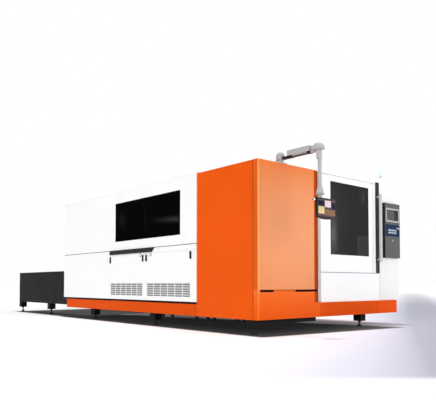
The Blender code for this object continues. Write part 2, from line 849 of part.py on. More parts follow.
def lower_form(name, inset, finish=None):
    """The low cover's form, or its hollow's: bevelled above the skirt, cut away for the slot."""
    form = prism(name, fascia_outline(0, inset), 'Z', SKIRT_BOTTOM + inset, SLOT_TOP - GAP - inset,
                 finish)
    start, end = bevel_line(inset, FASCIA_WIDTH + OVERRUN)
    bevel = [start, (start[0], -OVERRUN), (end[0], -OVERRUN), end]
    cut(form, prism(f"{name}_bevel", bevel, 'Z', SKIRT_TOP - inset, SLOT_TOP + OVERRUN))
    cut(form, block(f"{name}_slot", at(SLOT_START - inset, -OVERRUN, SLOT_BOTTOM - inset),
                    at(FASCIA_WIDTH + OVERRUN, COVER_DEPTH + OVERRUN * 2, SLOT_TOP + OVERRUN)))
    return form


def fascia_lower(finish):
    """The low orange cover: bevelled above the skirt, flush with the skirt below."""
    cover = lower_form("fascia_lower", 0, finish)
    settle(cover)
    cut(cover, lower_form("lower_hollow", SHEET))
    trim_back(cover, SKIRT_BOTTOM, SLOT_TOP)
    weld(cover, block("slot_tongue",
                      at(FASCIA_WIDTH * TONGUE_START_SHARE, TONGUE_SET_BACK,
                         SLOT_BOTTOM - SHEET / 2),
                      at(FASCIA_WIDTH * TONGUE_END_SHARE, TONGUE_SET_BACK + SHEET,
                         SLOT_TOP - GAP)))
    return cover


def settle(item):
    """Replace a piece's mesh by what its modifiers make of it."""
    bpy.context.view_layer.update()
    ready = item.evaluated_get(bpy.context.evaluated_depsgraph_get())
    mesh = bpy.data.meshes.new_from_object(ready)
    item.modifiers.clear()
    item.data = mesh


def orange_cabinet(finish):
    """The folded cabinet behind the cover, whose left side runs down beside the base."""
    start = COVER_DEPTH + GAP
    cabinet = block("orange_cabinet", at(0, start, CABINET_BOTTOM),
                    at(CABINET_WIDTH, CABINET_LENGTH, ORANGE_TOP), finish)
    open_side(cabinet, TO_FLOOR)
    shape = bmesh.new()
    shape.from_mesh(cabinet.data)
    side = min(shape.verts, key=lambda vert: vert.co.x).co.x
    low = min(shape.verts, key=lambda vert: vert.co.z).co.z
    edge = [item for item in shape.edges
            if all(vert.co.x < side + WELD and vert.co.z < low + WELD for vert in item.verts)]
    drop = bmesh.ops.extrude_edge_only(shape, edges=edge)["geom"]
    moved = [item for item in drop if isinstance(item, bmesh.types.BMVert)]
    bmesh.ops.translate(shape, vec=Vector((0, 0, SKIRT_BOTTOM - CABINET_BOTTOM)), verts=moved)
    shape.to_mesh(cabinet.data)
    shape.free()
    fold(cabinet)
    return cabinet


def joggled(name, top, start, end, finish):
    """A wall cover whose top edge steps back, which makes the dark seam line above it."""
    face = -SKIN_PROUD
    outline = [(face, SKIRT_TOP + GAP), (face, top - SEAM_HEIGHT),
               (face + SEAM_DEPTH, top - SEAM_HEIGHT), (face + SEAM_DEPTH, top),
               (WALL_INNER, top), (WALL_INNER, SKIRT_TOP + GAP)]
    cover = prism(name, outline, 'Y', start, end, finish)
    open_side(cover, TO_RIGHT)
    thicken(cover)
    return cover


def left_walls(white, black, glass):
    """The left side above the skirt: fixed covers, the long window and its two panes."""
    face = -SKIN_PROUD
    start = CABINET_LENGTH + GAP
    front = pan("upper_panel_front", at(face, start, SEAM_LINE),
                at(WALL_INNER, SIDE_SEAM - GAP, WALL_TOP), TO_RIGHT, white)
    cut(front, block("side_window_hole",
                     at(face - OVERRUN, SIDE_WINDOW_START, SIDE_WINDOW_BOTTOM),
                     at(WALL_INNER + OVERRUN, SIDE_WINDOW_END, SIDE_WINDOW_TOP)))
    pan("upper_panel_rear", at(face, SIDE_SEAM, SEAM_LINE), at(WALL_INNER, BODY_LENGTH, WALL_TOP),
        TO_RIGHT, white)
    pane = face + SHEET + GAP
    middle = (SIDE_WINDOW_START + SIDE_WINDOW_END) / 2
    halves = (("side_window_front", SIDE_WINDOW_START - PANE_LAP, middle - PANE_JOINT / 2),
              ("side_window_rear", middle + PANE_JOINT / 2, SIDE_WINDOW_END + PANE_LAP))
    for name, low, high in halves:
        block(name, at(pane, low, SIDE_WINDOW_BOTTOM - PANE_LAP),
              at(pane + PANE_THICKNESS, high, SIDE_WINDOW_TOP + PANE_LAP), glass)
    joggled("lower_panel_rear", SEAM_LINE - GAP, SIDE_SEAM, BODY_LENGTH, white)
    top = SEAM_LINE - GAP
    header = [(face, HEADER_BOTTOM), (face, top - SEAM_HEIGHT),
              (face + SEAM_DEPTH, top - SEAM_HEIGHT), (face + SEAM_DEPTH, top),
              (WALL_INNER, top), (WALL_INNER, HEADER_BOTTOM)]
    prism("door_header", header, 'Y', start, SIDE_SEAM - GAP, white)
    trim_top = top - SEAM_HEIGHT
    trim = [(TRIM_START, trim_top), (TRIM_END, trim_top), (TRIM_END, TRIM_BOTTOM),
            (TRIM_START + TRIM_SLANT, TRIM_BOTTOM)]
    prism("grip_trim", trim, 'X', face - GAP - TRIM_THICKNESS, face - GAP, black)


def louvres(name, start, end):
    """Rows of short slots, as one cutter."""
    row_pitch = (LOUVRE_TOP - LOUVRE_BOTTOM) / LOUVRE_ROWS
    column_pitch = (end - start) / LOUVRE_COLUMNS
    slots = []
    for row in range(LOUVRE_ROWS):
        low = LOUVRE_BOTTOM + row_pitch * (row + (1 - LOUVRE_OPEN_SHARE) / 2)
        for column in range(LOUVRE_COLUMNS):
            along = start + column_pitch * column + LOUVRE_BRIDGE / 2
            slots.append((at(-SKIN_PROUD - OVERRUN, along, low),
                          at(0, along + column_pitch - LOUVRE_BRIDGE,
                             low + row_pitch * LOUVRE_OPEN_SHARE)))
    return blocks(name, slots, None)


def latch(name, along, finish):
    """A flip-up latch: rounded over its pivot pin, flat against the door below."""
    axis_across = -SKIN_PROUD - GAP - LATCH_RADIUS
    outline = []
    for turn in range(9):
        angle = math.pi * turn / 8
        outline.append((axis_across + LATCH_RADIUS * math.cos(angle),
                        LATCH_PIVOT_UP + LATCH_RADIUS * math.sin(angle)))
    bottom = LATCH_PIVOT_UP + LATCH_RADIUS - LATCH_HEIGHT
    outline.append((axis_across - LATCH_RADIUS, bottom + LATCH_RADIUS))
    outline.append((axis_across, bottom))
    outline.append((axis_across + LATCH_RADIUS, bottom))
    return prism(name, outline, 'Y', along - LATCH_WIDTH / 2, along + LATCH_WIDTH / 2, finish)


def service_doors(white, black):
    """Two louvred covers that hook in at the bottom and latch at their top corners."""
    face = -SKIN_PROUD
    start = CABINET_LENGTH + GAP
    end = SIDE_SEAM - GAP
    doors = (("front", start, SERVICE_DOOR_SEAM - GAP, start + LOUVRE_FRONT_MARGIN,
              SERVICE_DOOR_SEAM - LOUVRE_SEAM_MARGIN, start + LATCH_FRONT_INSET),
             ("rear", SERVICE_DOOR_SEAM, end, SERVICE_DOOR_SEAM + LOUVRE_SEAM_MARGIN,
              end - LOUVRE_END_MARGIN, end - LATCH_END_INSET))
    for name, low, high, louvre_low, louvre_high, outer_latch in doors:
        door = pan(f"service_door_{name}", at(face, low, SKIRT_TOP + GAP),
                   at(WALL_INNER, high, SERVICE_DOOR_TOP), TO_RIGHT, white)
        cut(door, louvres(f"louvres_{name}", louvre_low, louvre_high))
        hinge = pivot(f"service_door_{name}_axis", at(face, (low + high) / 2, SKIRT_TOP + GAP))
        hang(hinge, door)
        sign = -1 if name == "front" else 1
        inner_latch = SERVICE_DOOR_SEAM + sign * LATCH_SEAM_INSET
        for place, along in (("outer", outer_latch), ("inner", inner_latch)):
            paddle = latch(f"latch_{name}_{place}", along, black)
            pin = pivot(f"latch_{name}_{place}_axis",
                        at(face - GAP - LATCH_RADIUS, along, LATCH_PIVOT_UP), hinge)
            keep_place(pin, paddle)


def right_and_rear(white):
    """The plain right wall and the rear wall with the pallets' passage."""
    right = BODY_WIDTH + RIGHT_OVERHANG
    pan("right_wall", at(BODY_WIDTH - RIGHT_WALL_LAP, DOOR_PLANE + COLUMN_DEPTH + GAP, SKIRT_TOP + GAP),
        at(right, BODY_LENGTH, WALL_TOP), TO_LEFT, white)
    rear = pan("rear_wall", at(WALL_INNER + GAP, BODY_LENGTH - WALL_DEPTH, SKIRT_TOP + GAP),
               at(BODY_WIDTH - RIGHT_WALL_LAP - GAP, BODY_LENGTH, WALL_TOP), -TO_BACK, white)
    low, high = both_sides(PALLET_HALF_WIDTH + PALLET_SIDE_ROOM + PASSAGE_SIDE_ROOM)
    cut(rear, block("passage", at(low, BODY_LENGTH - WALL_DEPTH - OVERRUN, PASSAGE_BOTTOM),
                    at(high, BODY_LENGTH + OVERRUN, PASSAGE_TOP)))


def roof(white):
    """The roof tray, cut round the orange cabinet and round the door track's end."""
    left = -SKIN_PROUD
    right = BODY_WIDTH + RIGHT_OVERHANG
    step_back = COVER_DEPTH + FOLD_RADIUS
    outline = [(left, CABINET_LENGTH + GAP), (CABINET_WIDTH + GAP, CABINET_LENGTH + GAP),
               (CABINET_WIDTH + GAP, step_back), (FASCIA_WIDTH + GAP, step_back),
               (FASCIA_WIDTH + GAP, DOOR_PLANE), (right, DOOR_PLANE), (right, BODY_LENGTH),
               (left, BODY_LENGTH)]
    tray = prism("roof", outline, 'Z', WALL_TOP + GAP, WHITE_TOP, white)
    open_side(tray, TO_FLOOR)
    fold(tray)
    cut(tray, block("track_notch", at(STRIP_START - GAP, DOOR_PLANE - OVERRUN, WALL_TOP - OVERRUN),
                    at(COLUMN_START, COVER_DEPTH + GAP, WHITE_TOP + OVERRUN)))


def front_covers(white, black):
    """The fixed white cover under the door, the right column and the door's track."""
    top = DOOR_BOTTOM - GAP
    lower = [(DOOR_PLANE, SKIRT_TOP + GAP), (DOOR_PLANE, top - SEAM_HEIGHT / 2),
             (DOOR_PLANE + SEAM_DEPTH, top - SEAM_HEIGHT / 2), (DOOR_PLANE + SEAM_DEPTH, top),
             (COVER_DEPTH, top), (COVER_DEPTH, SKIRT_TOP + GAP)]
    cover = prism("front_lower_panel", lower, 'X', FASCIA_WIDTH + GAP, COLUMN_START - GAP, white)
    open_side(cover, TO_BACK)
    thicken(cover)
    pan("front_column", at(COLUMN_START, DOOR_PLANE, SKIRT_TOP + GAP),
        at(BODY_WIDTH + RIGHT_OVERHANG, DOOR_PLANE + COLUMN_DEPTH, WALL_TOP), TO_BACK, white)
    track_top = WALL_TOP
    track = block("door_track", at(TRACK_START, DOOR_BACK + GAP, track_top - TRACK_HEIGHT),
                  at(COLUMN_START - GAP, DOOR_BACK + GAP + TRACK_DEPTH, track_top), black)
    weld(track, block("track_end", at(STRIP_START, DOOR_PLANE, DOOR_TOP + GAP),
                      at(COLUMN_START - GAP, COVER_DEPTH, WHITE_TOP)))


def front_door(white, black, glass, grey):
    """The sliding door: folded leaf, pane, black edge strip and tubular handle."""
    slide = pivot("front_door_axis", at(DOOR_START, DOOR_PLANE, DOOR_BOTTOM))
    leaf = pan("front_door", at(DOOR_START, DOOR_PLANE, DOOR_BOTTOM),
               at(DOOR_END, DOOR_BACK, DOOR_TOP), TO_BACK, white)
    cut(leaf, block("front_window_hole", at(WINDOW_LEFT, DOOR_PLANE - OVERRUN, WINDOW_BOTTOM),
                    at(WINDOW_RIGHT, DOOR_BACK + OVERRUN, WINDOW_TOP)))
    pane_front = DOOR_PLANE + SHEET + GAP
    pane = block("front_window", at(WINDOW_LEFT - PANE_LAP, pane_front, WINDOW_BOTTOM - PANE_LAP),
                 at(WINDOW_RIGHT + PANE_LAP, pane_front + PANE_THICKNESS,
                    WINDOW_TOP + PANE_LAP), glass)
    strip = block("door_edge_strip", at(STRIP_START, DOOR_PLANE, DOOR_BOTTOM),
                  at(STRIP_START + STRIP_WIDTH, DOOR_PLANE + STRIP_DEPTH, DOOR_TOP), black)
    handle = door_handle(grey)
    hang(slide, leaf, pane, strip, handle)


def door_handle(grey):
    """A straight tube held off the edge strip by two round posts."""
    across = STRIP_START + STRIP_WIDTH / 2
    along = DOOR_PLANE - HANDLE_STAND_OFF
    bar = rod("door_handle", at(across, along, HANDLE_BOTTOM), at(across, along, HANDLE_TOP),
              HANDLE_RADIUS, grey, ROUND_STEPS)
    posts = (HANDLE_BOTTOM + HANDLE_POST_INSET, HANDLE_TOP - HANDLE_POST_INSET)
    for number, up in enumerate(posts):
        weld(bar, rod(f"handle_post_{number}", at(across, along, up),
                      at(across, DOOR_PLANE - GAP, up), HANDLE_POST_RADIUS))
    return bar


def console(grey, black, blue, white):
    """The wall console: housing, screen unit, key pad, push button and drop-down flap."""
    back = DOOR_PLANE - GAP
    housing = block("console_housing", at(CONSOLE_LEFT, CONSOLE_FRONT, CONSOLE_BOTTOM),
                    at(CONSOLE_RIGHT, back, CONSOLE_TOP), grey)
    flap_left = CONSOLE_LEFT + CONSOLE_WALL
    flap_right = CONSOLE_RIGHT - CONSOLE_WALL
    cut(housing, block("keyboard_bay", at(flap_left, CONSOLE_FRONT - OVERRUN, FLAP_BOTTOM),
                       at(flap_right, back - CONSOLE_WALL, FLAP_TOP)))
    button = at(CONSOLE_RIGHT - BUTTON_INSET, CONSOLE_FRONT, BUTTON_UP)
    inward = Vector((0, BUTTON_STEM + BUTTON_TRAVEL_ROOM, 0))
    outward = Vector((0, -OVERRUN, 0))
    bore = rod("button_bore", button + outward, button + inward, BUTTON_RADIUS + GAP)
    cut(housing, bore)
    screen_left = CONSOLE_LEFT + SCREEN_SIDE_MARGIN
    screen_right = CONSOLE_RIGHT - SCREEN_SIDE_MARGIN
    screen_face = CONSOLE_FRONT - GAP - SCREEN_PROUD
    screen = block("console_screen", at(screen_left, screen_face, SCREEN_BOTTOM),
                   at(screen_right, CONSOLE_FRONT - GAP, SCREEN_TOP), black)
    cut(screen, block("screen_recess",
                      at(screen_left + SCREEN_FRAME, screen_face - OVERRUN,
                         SCREEN_BOTTOM + SCREEN_FRAME / 2),
                      at(screen_right - SCREEN_FRAME, screen_face + SCREEN_RECESS,
                         SCREEN_TOP - SCREEN_FRAME / 2)))
    keypad_face = CONSOLE_FRONT - GAP - KEYPAD_THICKNESS
    keypad = block("console_keypad", at(screen_left, keypad_face, KEYPAD_BOTTOM),
                   at(screen_right, CONSOLE_FRONT - GAP, KEYPAD_TOP), blue)
    keys = []
    first_key = (screen_left + screen_right - KEY_PITCH * (KEY_COLUMNS - 1)) / 2
    low_key = (KEYPAD_BOTTOM + KEYPAD_TOP - KEY_PITCH * (KEY_ROWS - 1)) / 2
    for row in range(KEY_ROWS):
        for column in range(KEY_COLUMNS):
            middle = at(first_key + KEY_PITCH * column, keypad_face, low_key + KEY_PITCH * row)
            half = Vector((KEY_SIZE / 2, 0, KEY_SIZE / 2))
            keys.append((middle - half - Vector((0, KEY_RISE, 0)),
                         middle + half + Vector((0, KEYPAD_THICKNESS / 2, 0))))
    weld(keypad, blocks("keys", keys, None))
    cut(keypad, bore)
    push = rod("power_button", button + Vector((0, -BUTTON_RISE, 0)),
               button + Vector((0, BUTTON_STEM, 0)), BUTTON_RADIUS, white, ROUND_STEPS)
    hang(pivot("power_button_axis", button), push)
    flap = block("console_flap", at(flap_left + FLAP_ROOM, CONSOLE_FRONT, FLAP_BOTTOM + GAP),
                 at(flap_right - FLAP_ROOM, CONSOLE_FRONT + FLAP_THICKNESS, FLAP_TOP - FLAP_ROOM),
                 grey)
    lock_across = (CONSOLE_LEFT + CONSOLE_RIGHT) / 2
    lock_up = FLAP_TOP - LOCK_DROP
    weld(flap, rod("flap_lock", at(lock_across, CONSOLE_FRONT - LOCK_PROUD, lock_up),
                   at(lock_across, CONSOLE_FRONT + FLAP_THICKNESS / 2, lock_up), LOCK_RADIUS))
    hang(pivot("console_flap_axis", at(lock_across, CONSOLE_FRONT, FLAP_BOTTOM + GAP)), flap)


def signal_light(white, lit):
    """A short pole on the roof with a one-colour lamp."""
    place = at(LAMP_ACROSS, LAMP_ALONG, 0)
    foot = WHITE_TOP + GAP
    collar_bottom = LAMP_BOTTOM - GAP - LAMP_COLLAR_HEIGHT
    turned("lamp_pole", [(0, LAMP_BOTTOM - GAP), (LAMP_COLLAR_RADIUS, LAMP_BOTTOM - GAP),
                         (LAMP_COLLAR_RADIUS, collar_bottom), (LAMP_POLE_RADIUS, collar_bottom),
                         (LAMP_POLE_RADIUS, foot + LAMP_POLE_FOOT_HEIGHT),
                         (LAMP_POLE_FOOT_RADIUS, foot + LAMP_POLE_FOOT_HEIGHT),
                         (LAMP_POLE_FOOT_RADIUS, foot), (0, foot)], place, white,
           SMALL_ROUND_STEPS)
    dome = [(0, LAMP_TOP)]
    for turn in range(1, 5):
        angle = math.pi / 2 * turn / 4
        dome.append((LAMP_RADIUS * math.sin(angle),
                     LAMP_TOP - LAMP_RADIUS + LAMP_RADIUS * math.cos(angle)))
    dome += [(LAMP_RADIUS, LAMP_BOTTOM), (0, LAMP_BOTTOM)]
    turned("signal_lamp", dome, place, lit)


def arm(grey, black):
    """The swinging arm: base, hub, beam, elbow, drop tube and coupling."""
    swivel = at(SWIVEL_ACROSS, SWIVEL_ALONG, 0)
    plate_bottom = ORANGE_TOP + GAP
    base = block("arm_base", at(SWIVEL_ACROSS - ARM_PLATE_LEFT, ARM_PLATE_EDGE, plate_bottom),
                 at(SWIVEL_ACROSS + ARM_PLATE_RIGHT, SWIVEL_ALONG + ARM_PLATE_BACK,
                    plate_bottom + ARM_PLATE_THICKNESS), grey)
    weld(base, turned("arm_neck", disc(ARM_NECK_RADIUS, plate_bottom + ARM_PLATE_THICKNESS / 2,
                                       HUB_BOTTOM - GAP), swivel))
    swing = pivot("arm_swing_axis", at(SWIVEL_ACROSS, SWIVEL_ALONG, HUB_BOTTOM))
    dome = [(0, HUB_TOP)]
    rise = (HUB_TOP - HUB_BOTTOM) / 2
    for turn in range(1, 6):
        angle = math.pi / 2 * turn / 5
        dome.append((HUB_RADIUS * math.sin(angle), HUB_TOP - rise + rise * math.cos(angle)))
    dome += [(HUB_RADIUS, HUB_BOTTOM), (0, HUB_BOTTOM)]
    hub = turned("arm_hub", dome, swivel, grey)
    beam = arm_beam(grey)
    cut(beam, turned("hub_space", disc(HUB_RADIUS + GAP, HUB_BOTTOM - OVERRUN,
                                       HUB_TOP + OVERRUN), swivel))
    elbow = arm_elbow(grey)
    tube_axis = at(SWIVEL_ACROSS, TUBE_ALONG, 0)
    tube = turned("arm_tube", disc(TUBE_RADIUS, TUBE_BOTTOM, ELBOW_BOTTOM - GAP), tube_axis, grey)
    hang(swing, hub, beam, elbow, tube, arm_coupling(grey, tube_axis))
    pendant = pivot("pendant_axis", at(SWIVEL_ACROSS, TUBE_ALONG, BELL_BOTTOM), swing)
    monitor(grey, black, pendant)


def arm_beam(grey):
    """A slim bar with a box section on top of its middle."""
    half_bar = ARM_BAR_WIDTH / 2
    half_box = ARM_BOX_WIDTH / 2
    bar_top = ARM_BAR_BOTTOM + ARM_BAR_HEIGHT
    elbow_back = TUBE_ALONG + ELBOW_HOOD_LENGTH / 2 + ELBOW_HOOD_BACK
    beam = block("arm_beam", at(SWIVEL_ACROSS - half_bar, elbow_back + GAP, ARM_BAR_BOTTOM),
                 at(SWIVEL_ACROSS + half_bar, SWIVEL_ALONG, bar_top), grey)
    weld(beam, block("arm_box",
                     at(SWIVEL_ACROSS - half_box, SWIVEL_ALONG - ARM_BOX_END, bar_top - GAP),
                     at(SWIVEL_ACROSS + half_box, SWIVEL_ALONG - ARM_BOX_START,
                        bar_top + ARM_BOX_HEIGHT)))
    return beam


def arm_elbow(grey):
    """A domed hood over a short neck; the beam's end butts against its back."""
    shape = bmesh.new()
    bmesh.ops.create_uvsphere(shape, u_segments=ROUND_STEPS, v_segments=SMALL_ROUND_STEPS,
                              radius=1)
    height = ELBOW_TOP - ELBOW_HOOD_BOTTOM
    bmesh.ops.scale(shape, vec=(ELBOW_HOOD_WIDTH / 2, ELBOW_HOOD_LENGTH / 2, height),
                    verts=shape.verts)
    mesh = bpy.data.meshes.new("arm_elbow")
    shape.to_mesh(mesh)
    shape.free()
    smooth(mesh)
    middle = TUBE_ALONG + ELBOW_HOOD_BACK
    elbow = link("arm_elbow", mesh, grey, at(SWIVEL_ACROSS, middle, ELBOW_HOOD_BOTTOM))
    cut(elbow, block("hood_underside",
                     at(SWIVEL_ACROSS - ELBOW_HOOD_WIDTH, middle - ELBOW_HOOD_LENGTH,
                        ELBOW_HOOD_BOTTOM - height - OVERRUN),
                     at(SWIVEL_ACROSS + ELBOW_HOOD_WIDTH, middle + ELBOW_HOOD_LENGTH,
                        ELBOW_HOOD_BOTTOM)))
    half_bar = ARM_BAR_WIDTH / 2
    weld(elbow, block("elbow_socket",
                      at(SWIVEL_ACROSS - half_bar, TUBE_ALONG, ARM_BAR_BOTTOM),
                      at(SWIVEL_ACROSS + half_bar, middle + ELBOW_HOOD_LENGTH / 2,
                         ARM_BAR_BOTTOM + ARM_BAR_HEIGHT)))
    neck_along = TUBE_ALONG + ELBOW_NECK_BACK
    weld(elbow, turned("elbow_neck", disc(ELBOW_NECK_RADIUS, ELBOW_BOTTOM,
                                          ELBOW_HOOD_BOTTOM + height / 2),
                       at(SWIVEL_ACROSS, neck_along, 0)))
    clamp_up = ELBOW_BOTTOM + CLAMP_RISE
    weld(elbow, rod("elbow_clamp", at(SWIVEL_ACROSS, neck_along, clamp_up),
                    at(SWIVEL_ACROSS + CLAMP_REACH, neck_along, clamp_up), CLAMP_RADIUS))
    return elbow


def arm_coupling(grey, tube_axis):
    """The bell-shaped coupling and its flange under the tube."""
    top = TUBE_BOTTOM - GAP
    profile = [(0, top)]
    for turn in range(7):
        share = turn / 6
        swell = math.sin(share * math.pi / 2) ** 2
        profile.append((TUBE_RADIUS + (BELL_RADIUS - TUBE_RADIUS) * swell,
                        top + (BELL_BOTTOM - top) * share))
    flange_bottom = BELL_BOTTOM - FLANGE_THICKNESS
    profile += [(FLANGE_RADIUS, BELL_BOTTOM), (FLANGE_RADIUS, flange_bottom), (0, flange_bottom)]
    return turned("arm_coupling", profile, tube_axis, grey)


def monitor(grey, black, pendant):
    """The hanging monitor: thin housing with a curved chin, yoke, neck and side knob."""
    half = MONITOR_WIDTH / 2
    front = TUBE_ALONG - MONITOR_AHEAD
    back = front + MONITOR_THICKNESS
    outline = [(SWIVEL_ACROSS - half, MONITOR_TOP), (SWIVEL_ACROSS - half, MONITOR_BOTTOM)]
    for turn in range(1, 8):
        share = turn / 8
        outline.append((SWIVEL_ACROSS - half + MONITOR_WIDTH * share,
                        MONITOR_BOTTOM - MONITOR_CHIN * math.sin(math.pi * share)))
    outline += [(SWIVEL_ACROSS + half, MONITOR_BOTTOM), (SWIVEL_ACROSS + half, MONITOR_TOP)]
    housing = prism("pendant_housing", outline, 'Y', front, back, black)
    glass_low = at(SWIVEL_ACROSS - half + MONITOR_FRAME, front, MONITOR_BOTTOM + MONITOR_FRAME)
    glass_high = at(SWIVEL_ACROSS + half - MONITOR_FRAME, front + MONITOR_RECESS,
                    MONITOR_TOP - MONITOR_FRAME)
    cut(housing, block("monitor_recess", glass_low - Vector((0, OVERRUN, 0)), glass_high))
    weld(housing, block("monitor_yoke",
                        at(SWIVEL_ACROSS - YOKE_HALF_WIDTH, back - MONITOR_THICKNESS / 2,
                           YOKE_BOTTOM),
                        at(SWIVEL_ACROSS + YOKE_HALF_WIDTH, TUBE_ALONG + YOKE_BEHIND,
                           MONITOR_TOP - GAP)))
    neck_top = BELL_BOTTOM - FLANGE_THICKNESS - GAP
    weld(housing, turned("monitor_neck", disc(MONITOR_NECK_RADIUS, MONITOR_TOP - MONITOR_FRAME,
                                              neck_top), at(SWIVEL_ACROSS, TUBE_ALONG, 0)))
    edge = at(SWIVEL_ACROSS - half, front + MONITOR_THICKNESS / 2, MONITOR_TOP - KNOB_DROP)
    stem_end = edge - Vector((KNOB_STEM_LENGTH, 0, 0))
    weld(housing, rod("knob_stem", stem_end - Vector((GAP, 0, 0)),
                      edge + Vector((MONITOR_FRAME / 2, 0, 0)), KNOB_STEM_RADIUS))
    weld(housing, rod("monitor_knob", stem_end - Vector((KNOB_LENGTH, 0, 0)), stem_end,
                      KNOB_RADIUS))
    room = Vector((GAP, 0, GAP))
    screen = block("pendant_screen",
                   glass_low + room + Vector((0, MONITOR_RECESS - MONITOR_GLASS, 0)),
                   glass_high - room - Vector((0, GAP, 0)), grey)
    keep_place(pendant, housing)
    hang(pendant, screen)


def gantry(steel, black):
    """The moving beam with a shoe at each end, and the two rails on its face."""
    left, right = both_sides(RAIL_HALF_GAUGE)
    face = GANTRY_FACE
    back = GANTRY_ALONG + GANTRY_BEAM_DEPTH / 2
    outline = [(face, GANTRY_BEAM_BOTTOM), (back, GANTRY_BEAM_BOTTOM),
               (back, GANTRY_BEAM_TOP - GANTRY_BEAM_SLOPE),
               (back - GANTRY_BEAM_SLOPE, GANTRY_BEAM_TOP), (face, GANTRY_BEAM_TOP)]
    beam = prism("gantry_beam", outline, 'X', left - GANTRY_OVERHANG, right + GANTRY_OVERHANG,
                 steel)
    for number, up in enumerate((GANTRY_BEAM_BOTTOM + BEAM_RAIL_INSET,
                                 GANTRY_BEAM_TOP - BEAM_RAIL_INSET)):
        weld(beam, block(f"beam_rail_{number}",
                         at(left, face - BEAM_RAIL_PROUD, up - BEAM_RAIL_WIDTH / 2),
                         at(right, face + OVERRUN, up + BEAM_RAIL_WIDTH / 2)))
    for side, centre in enumerate((left, right)):
        shoe = (at(centre - SHOE_WIDTH / 2, GANTRY_ALONG - SHOE_LENGTH / 2, BED_TOP + SHOE_LIFT),
                at(centre + SHOE_WIDTH / 2, GANTRY_ALONG + SHOE_LENGTH / 2,
                   GANTRY_BEAM_BOTTOM + OVERRUN))
        weld(beam, block(f"shoe_{side}", *shoe))
        room = RAIL_WIDTH / 2 + GAP
        cut(beam, block(f"shoe_groove_{side}",
                        at(centre - room, GANTRY_ALONG - SHOE_LENGTH, BED_TOP - OVERRUN),
                        at(centre + room, GANTRY_ALONG + SHOE_LENGTH,
                           BED_TOP + GAP + RAIL_HEIGHT + GAP)))
    travel = pivot("gantry_axis", at(BED_CENTRE, GANTRY_ALONG, BED_TOP))
    keep_place(travel, beam)
    cross = pivot("carriage_axis", at(BED_CENTRE, GANTRY_FACE, GANTRY_BEAM_TOP), travel)
    hang(cross, head_carriage(black))
    lift = pivot("head_axis", at(BED_CENTRE, HEAD_ALONG, HEAD_TOP), cross)
    hang(lift, cutting_head(steel))


def head_carriage(black):
    """The carriage block, grooved over the beam's two rails."""
    half = CARRIAGE_WIDTH / 2
    carriage = block("head_carriage", at(BED_CENTRE - half, CARRIAGE_FACE, CARRIAGE_BOTTOM),
                     at(BED_CENTRE + half, GANTRY_FACE - GAP, CARRIAGE_TOP), black)
    soften(carriage, CARRIAGE_FOLD_RADIUS)
    for number, up in enumerate((GANTRY_BEAM_BOTTOM + BEAM_RAIL_INSET,
                                 GANTRY_BEAM_TOP - BEAM_RAIL_INSET)):
        room = BEAM_RAIL_WIDTH / 2 + GAP
        cut(carriage, block(f"carriage_groove_{number}",
                            at(BED_CENTRE - half - OVERRUN, GANTRY_FACE - BEAM_RAIL_PROUD - GAP,
                               up - room),
                            at(BED_CENTRE + half + OVERRUN, GANTRY_FACE + OVERRUN, up + room)))
    return carriage


def cutting_head(steel):
    """The laser head on its slide plate, with the nozzle pointing down."""
    half = HEAD_PLATE_WIDTH / 2
    plate = block("cutting_head", at(BED_CENTRE - half, HEAD_PLATE_FACE, HEAD_PLATE_BOTTOM),
                  at(BED_CENTRE + half, CARRIAGE_FACE - GAP, HEAD_PLATE_TOP), steel)
    profile = [(0, HEAD_TOP), (HEAD_CAP_RADIUS, HEAD_TOP), (HEAD_CAP_RADIUS, HEAD_BODY_TOP),
               (HEAD_RADIUS, HEAD_BODY_TOP), (HEAD_RADIUS, HEAD_BODY_BOTTOM),
               (HEAD_COLLAR_RADIUS, HEAD_CONE_BOTTOM), (NOZZLE_RADIUS, HEAD_CONE_BOTTOM),
               (NOZZLE_TIP_RADIUS, NOZZLE_TIP), (0, NOZZLE_TIP)]
    axis = at(BED_CENTRE, HEAD_ALONG, 0)
    weld(plate, turned("head_body", profile, axis))
    arm_half = HEAD_RADIUS / 2
    weld(plate, block("head_bracket", at(BED_CENTRE - arm_half, HEAD_ALONG, HEAD_PLATE_BOTTOM + OVERRUN),
                      at(BED_CENTRE + arm_half, HEAD_PLATE_FACE + HEAD_PLATE_THICKNESS / 2,
                         HEAD_PLATE_TOP - OVERRUN)))
    return plate


def slat_outline():
    """One slat seen from the front, with a row of pointed teeth along its top."""
    half = PALLET_HALF_WIDTH - PALLET_BEAM_WIDTH / 2
    valley = SLAT_HEIGHT - TOOTH_HEIGHT
    outline = [(-half, 0), (half, 0), (half, valley)]
    pitch = 2 * half / TOOTH_COUNT
    for tooth in range(TOOTH_COUNT):
        outline.append((half - pitch * (tooth + 1 / 2), SLAT_HEIGHT))
        outline.append((half - pitch * (tooth + 1), valley))
    return outline


def slats(name, start, ledge):
    """All slats of a pallet as one object, a copy of one drawn slat for each place."""
    bottom = ledge + SLAT_BOTTOM_UP
    outline = [(BED_CENTRE + across, bottom + up) for across, up in slat_outline()]
    first = start + PALLET_BEAM_WIDTH + SLAT_THICKNESS
    last = start + PALLET_LENGTH - PALLET_BEAM_WIDTH - SLAT_THICKNESS
    pitch = (last - first) / (SLAT_COUNT + 1)
    sample = prism(f"{name}_slats", outline, 'Y', first + pitch - SLAT_THICKNESS / 2,
                   first + pitch + SLAT_THICKNESS / 2)
    shape = bmesh.new()
    shape.from_mesh(sample.data)
    source = list(shape.verts) + list(shape.edges) + list(shape.faces)
    depth = Vector((0, 0, -1))
    for number in range(1, SLAT_COUNT):
        copy = bmesh.ops.duplicate(shape, geom=source)["geom"]
        verts = [item for item in copy if isinstance(item, bmesh.types.BMVert)]
        bmesh.ops.translate(shape, vec=depth * pitch * number, verts=verts)
    shape.to_mesh(sample.data)
    shape.free()
    return sample


